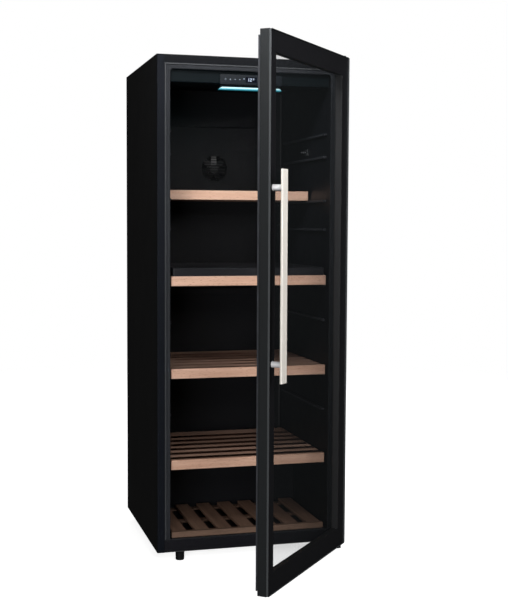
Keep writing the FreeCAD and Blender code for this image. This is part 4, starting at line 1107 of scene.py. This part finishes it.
def make_feet():
    """Moulded levelling feet with a rounded toe, two grip rings and a zinc stem."""
    top = 34.7 * MM
    toe_round = 3 * MM
    stem = 4.8 * MM
    for corner in ("front_left", "front_right", "rear_left", "rear_right"):
        body = f"foot_{corner}"
        low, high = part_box(body)
        centre = (low + high) / 2
        outer = (high.x - low.x) / 2
        toe = outer - 1.5 * MM
        place = Matrix.Translation((centre.x, centre.y, 0))
        profile = [(0, 0), (toe - toe_round, 0)]
        profile += [(toe - toe_round + r, toe_round + z) for r, z in arc((0, 0), toe_round, -90, 0)][1:]
        profile += [(toe + 0.4 * MM, 9 * MM), (outer - 0.7 * MM, top - 9 * MM)]
        for ring in (top - 8 * MM, top - 5 * MM):
            profile += [
                (outer - 0.2 * MM, ring + 0.4 * MM),
                (outer - 0.2 * MM, ring + 1.6 * MM),
                (outer - 0.8 * MM, ring + 2.1 * MM),
            ]
        profile += [
            (outer - 0.1 * MM, top - 1.2 * MM),
            (outer - 0.6 * MM, top - 0.2 * MM),
            (stem, top - 0.2 * MM),
        ]
        bm = bmesh.new()
        add_lathe(bm, profile, place, 48)
        thread = [(stem, top - 0.2 * MM), (stem, high.z - 0.4 * MM), (stem - 0.4 * MM, high.z), (0, high.z)]
        add_lathe(bm, thread, place, 32, index=1)
        show(f"levelling_{body}", bm, [FOOT, ZINC], body, [body])


# ---- pieces that keep their CAD shape ----


def make_rest():
    """Rounded edges where they show, and a finish each."""
    for node, radius, material in (
        ("hinge_bracket_top", 0.9, HINGE_PAINT),
        ("hinge_bracket_bottom", 0.9, HINGE_PAINT),
        ("hinge_screws", 0.5, ZINC),
        ("evaporator_cover", 0.8, DUCT),
        ("back_panel", 0.3, REAR_STEEL),
        ("compressor_cover", 0.25, REAR_STEEL),
        ("base_pan", 0.3, REAR_STEEL),
        ("drip_tray", 1.0, DRIP_PLASTIC),
        ("power_inlet", 0.7, INLET),
        ("control_board", 0.2, BOARD),
        ("light_strip", 0.2, LAMP_BOARD),
        ("stile_end_caps", 0.6, SILL),
        ("hinge_bushes", 0, BUSH),
        ("insulation_foam", 0, FOAM),
    ):
        soften(node, radius * MM, material)
    soften("rear_spacers", 2 * MM, LEDGE, steps=3)
    soften("terminal_box", 3 * MM, INLET, steps=3)
    for node, material in (
        ("temperature_probe", PROBE),
        ("evaporator_coil", ALUMINIUM),
        ("fan_motor", ZINC),
        ("fan_impeller", FAN_PLASTIC),
        ("compressor", COMPRESSOR_PAINT),
        ("compressor_bushes", RUBBER),
        ("condenser_coil", CONDENSER_PAINT),
        ("refrigerant_pipes", COPPER),
        ("filter_drier", COPPER),
    ):
        dress(node, material)


# ---- camera, floor and light ----

CAMERA_AT = (-1.038, -4.130, 1.183)
YAW, PITCH, ROLL = 15.41, -3.94, 0.28
SENSOR, LENS = 36.0, 67.3


def make_camera():
    """The photo's camera: its place, direction and lens."""
    yaw, pitch, roll = (math.radians(angle) for angle in (YAW, PITCH, ROLL))
    ahead = Vector((math.sin(yaw) * math.cos(pitch), math.cos(yaw) * math.cos(pitch), math.sin(pitch)))
    right = Vector((math.cos(yaw), -math.sin(yaw), 0))
    up = right.cross(ahead)
    right, up = (
        math.cos(roll) * right + math.sin(roll) * up,
        -math.sin(roll) * right + math.cos(roll) * up,
    )
    data = bpy.data.cameras.new("camera")
    data.sensor_width = SENSOR
    data.lens = LENS
    data.clip_start, data.clip_end = 0.05, 60
    camera = put_in_scene("camera", data)
    camera.matrix_world = Matrix.Translation(CAMERA_AT) @ Matrix((right, up, -ahead)).transposed().to_4x4()
    bpy.context.scene.camera = camera


def add_light(name, at, aim, size, power, colour=(1, 1, 1), spread=180):
    """A soft box that the camera does not see."""
    data = bpy.data.lights.new(name, "AREA")
    data.shape = "RECTANGLE"
    data.size, data.size_y = size
    data.energy = power
    data.color = colour
    data.spread = math.radians(spread)
    light = put_in_scene(name, data)
    light.visible_camera = False
    light.location = at
    light.rotation_mode = "QUATERNION"
    light.rotation_quaternion = (Vector(at) - Vector(aim)).to_track_quat("Z", "Y")


def make_surround():
    """White world: full white to the camera, and a faint light on the object."""
    world = bpy.data.worlds.new("surround")
    bpy.context.scene.world = world
    world.use_nodes = True
    tree = world.node_tree
    background = tree.nodes["Background"]
    seen = tree.nodes.new("ShaderNodeLightPath")
    strength = tree.nodes.new("ShaderNodeMapRange")
    strength.inputs["To Min"].default_value = 0.03
    strength.inputs["To Max"].default_value = 1.0
    tree.links.new(seen.outputs["Is Camera Ray"], strength.inputs["Value"])
    tree.links.new(strength.outputs["Result"], background.inputs["Strength"])
    background.inputs["Color"].default_value = (1, 1, 1, 1)


def make_floor():
    """White floor that takes a soft shadow near the object and meets the white world far away."""
    bm = bmesh.new()
    bmesh.ops.create_grid(bm, x_segments=1, y_segments=1, size=40)
    mesh = bpy.data.meshes.new("floor")
    bm.to_mesh(mesh)
    bm.free()
    floor = put_in_scene("floor", mesh)
    m = Nodes("floor_white", (0.93, 0.93, 0.93), 0.9, **{SPECULAR: 0.0})
    m.set("Emission Color", (1, 1, 1, 1))
    away = m.add("ShaderNodeVectorMath", operation="LENGTH")
    m.link(m.position(), away.inputs[0])
    distance = away.outputs["Value"]
    paper = m.ramp(m.noise(0.7, 1), [(0.3, (0.92, 0.92, 0.92)), (0.7, (0.94, 0.94, 0.94))])
    near = m.between(distance, low=1, high=0, start=1.6, end=5.0)
    m.drive("Base Color", m.mix(near, (0, 0, 0), paper))
    m.drive("Emission Strength", m.between(distance, low=0.86, high=1.0, start=0.4, end=1.6))
    mesh.materials.append(m.material)
    floor.visible_diffuse = False
    floor.visible_glossy = False


def make_lights():
    """Soft boxes round the object, and the cold light that the lamp throws down."""
    add_light("front_high", (0.6, -4.8, 2.7), (0, 0, 0.9), (2.0, 1.6), 78)
    add_light("front_low", (-2.2, -4.6, 0.7), (0, 0, 0.6), (1.6, 1.4), 112)
    add_light("upper_left", (-1.0, -1.75, 2.75), (-0.15, -0.85, 2.05), (0.6, 0.6), 6.5, spread=50)
    add_light("upper_right", (1.5, -1.9, 2.7), (-0.05, -0.7, 1.75), (0.8, 0.6), 5.5, spread=60)
    add_light("overhead", (0, -0.2, 4.4), (0, -0.2, 0), (3.0, 3.0), 24)
    add_light("side", (3.2, -3.0, 0.9), (0, -0.6, 0.9), (1.2, 1.6), 60)
    add_light("rear", (1.0, 4.2, 2.2), (0, 0.3, 0.9), (2.2, 1.6), 70)
    low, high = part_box("light_diffuser")
    below = ((low.x + high.x) / 2, (low.y + high.y) / 2, low.z - 6 * MM)
    add_light("lamp_glow", below, (below[0], below[1] + 0.25, 0), (0.2, 0.02), 0.3, (0.6, 0.93, 1.0))


# ---- build ----

make_camera()
make_surround()
make_floor()
make_lights()
make_side_skins()
make_top_skin()
make_collar()
make_sill()
make_liner()
make_ledges()
make_shelves()
make_tray()
make_rack()
make_housing()
make_panel()
make_figure()
make_key_marks()
make_lamp()
make_stiles()
make_rails()
make_glass()
make_spacer()
make_gasket()
make_handle()
make_feet()
make_rest()
bpy.context.scene.view_settings.view_transform = "Standard"
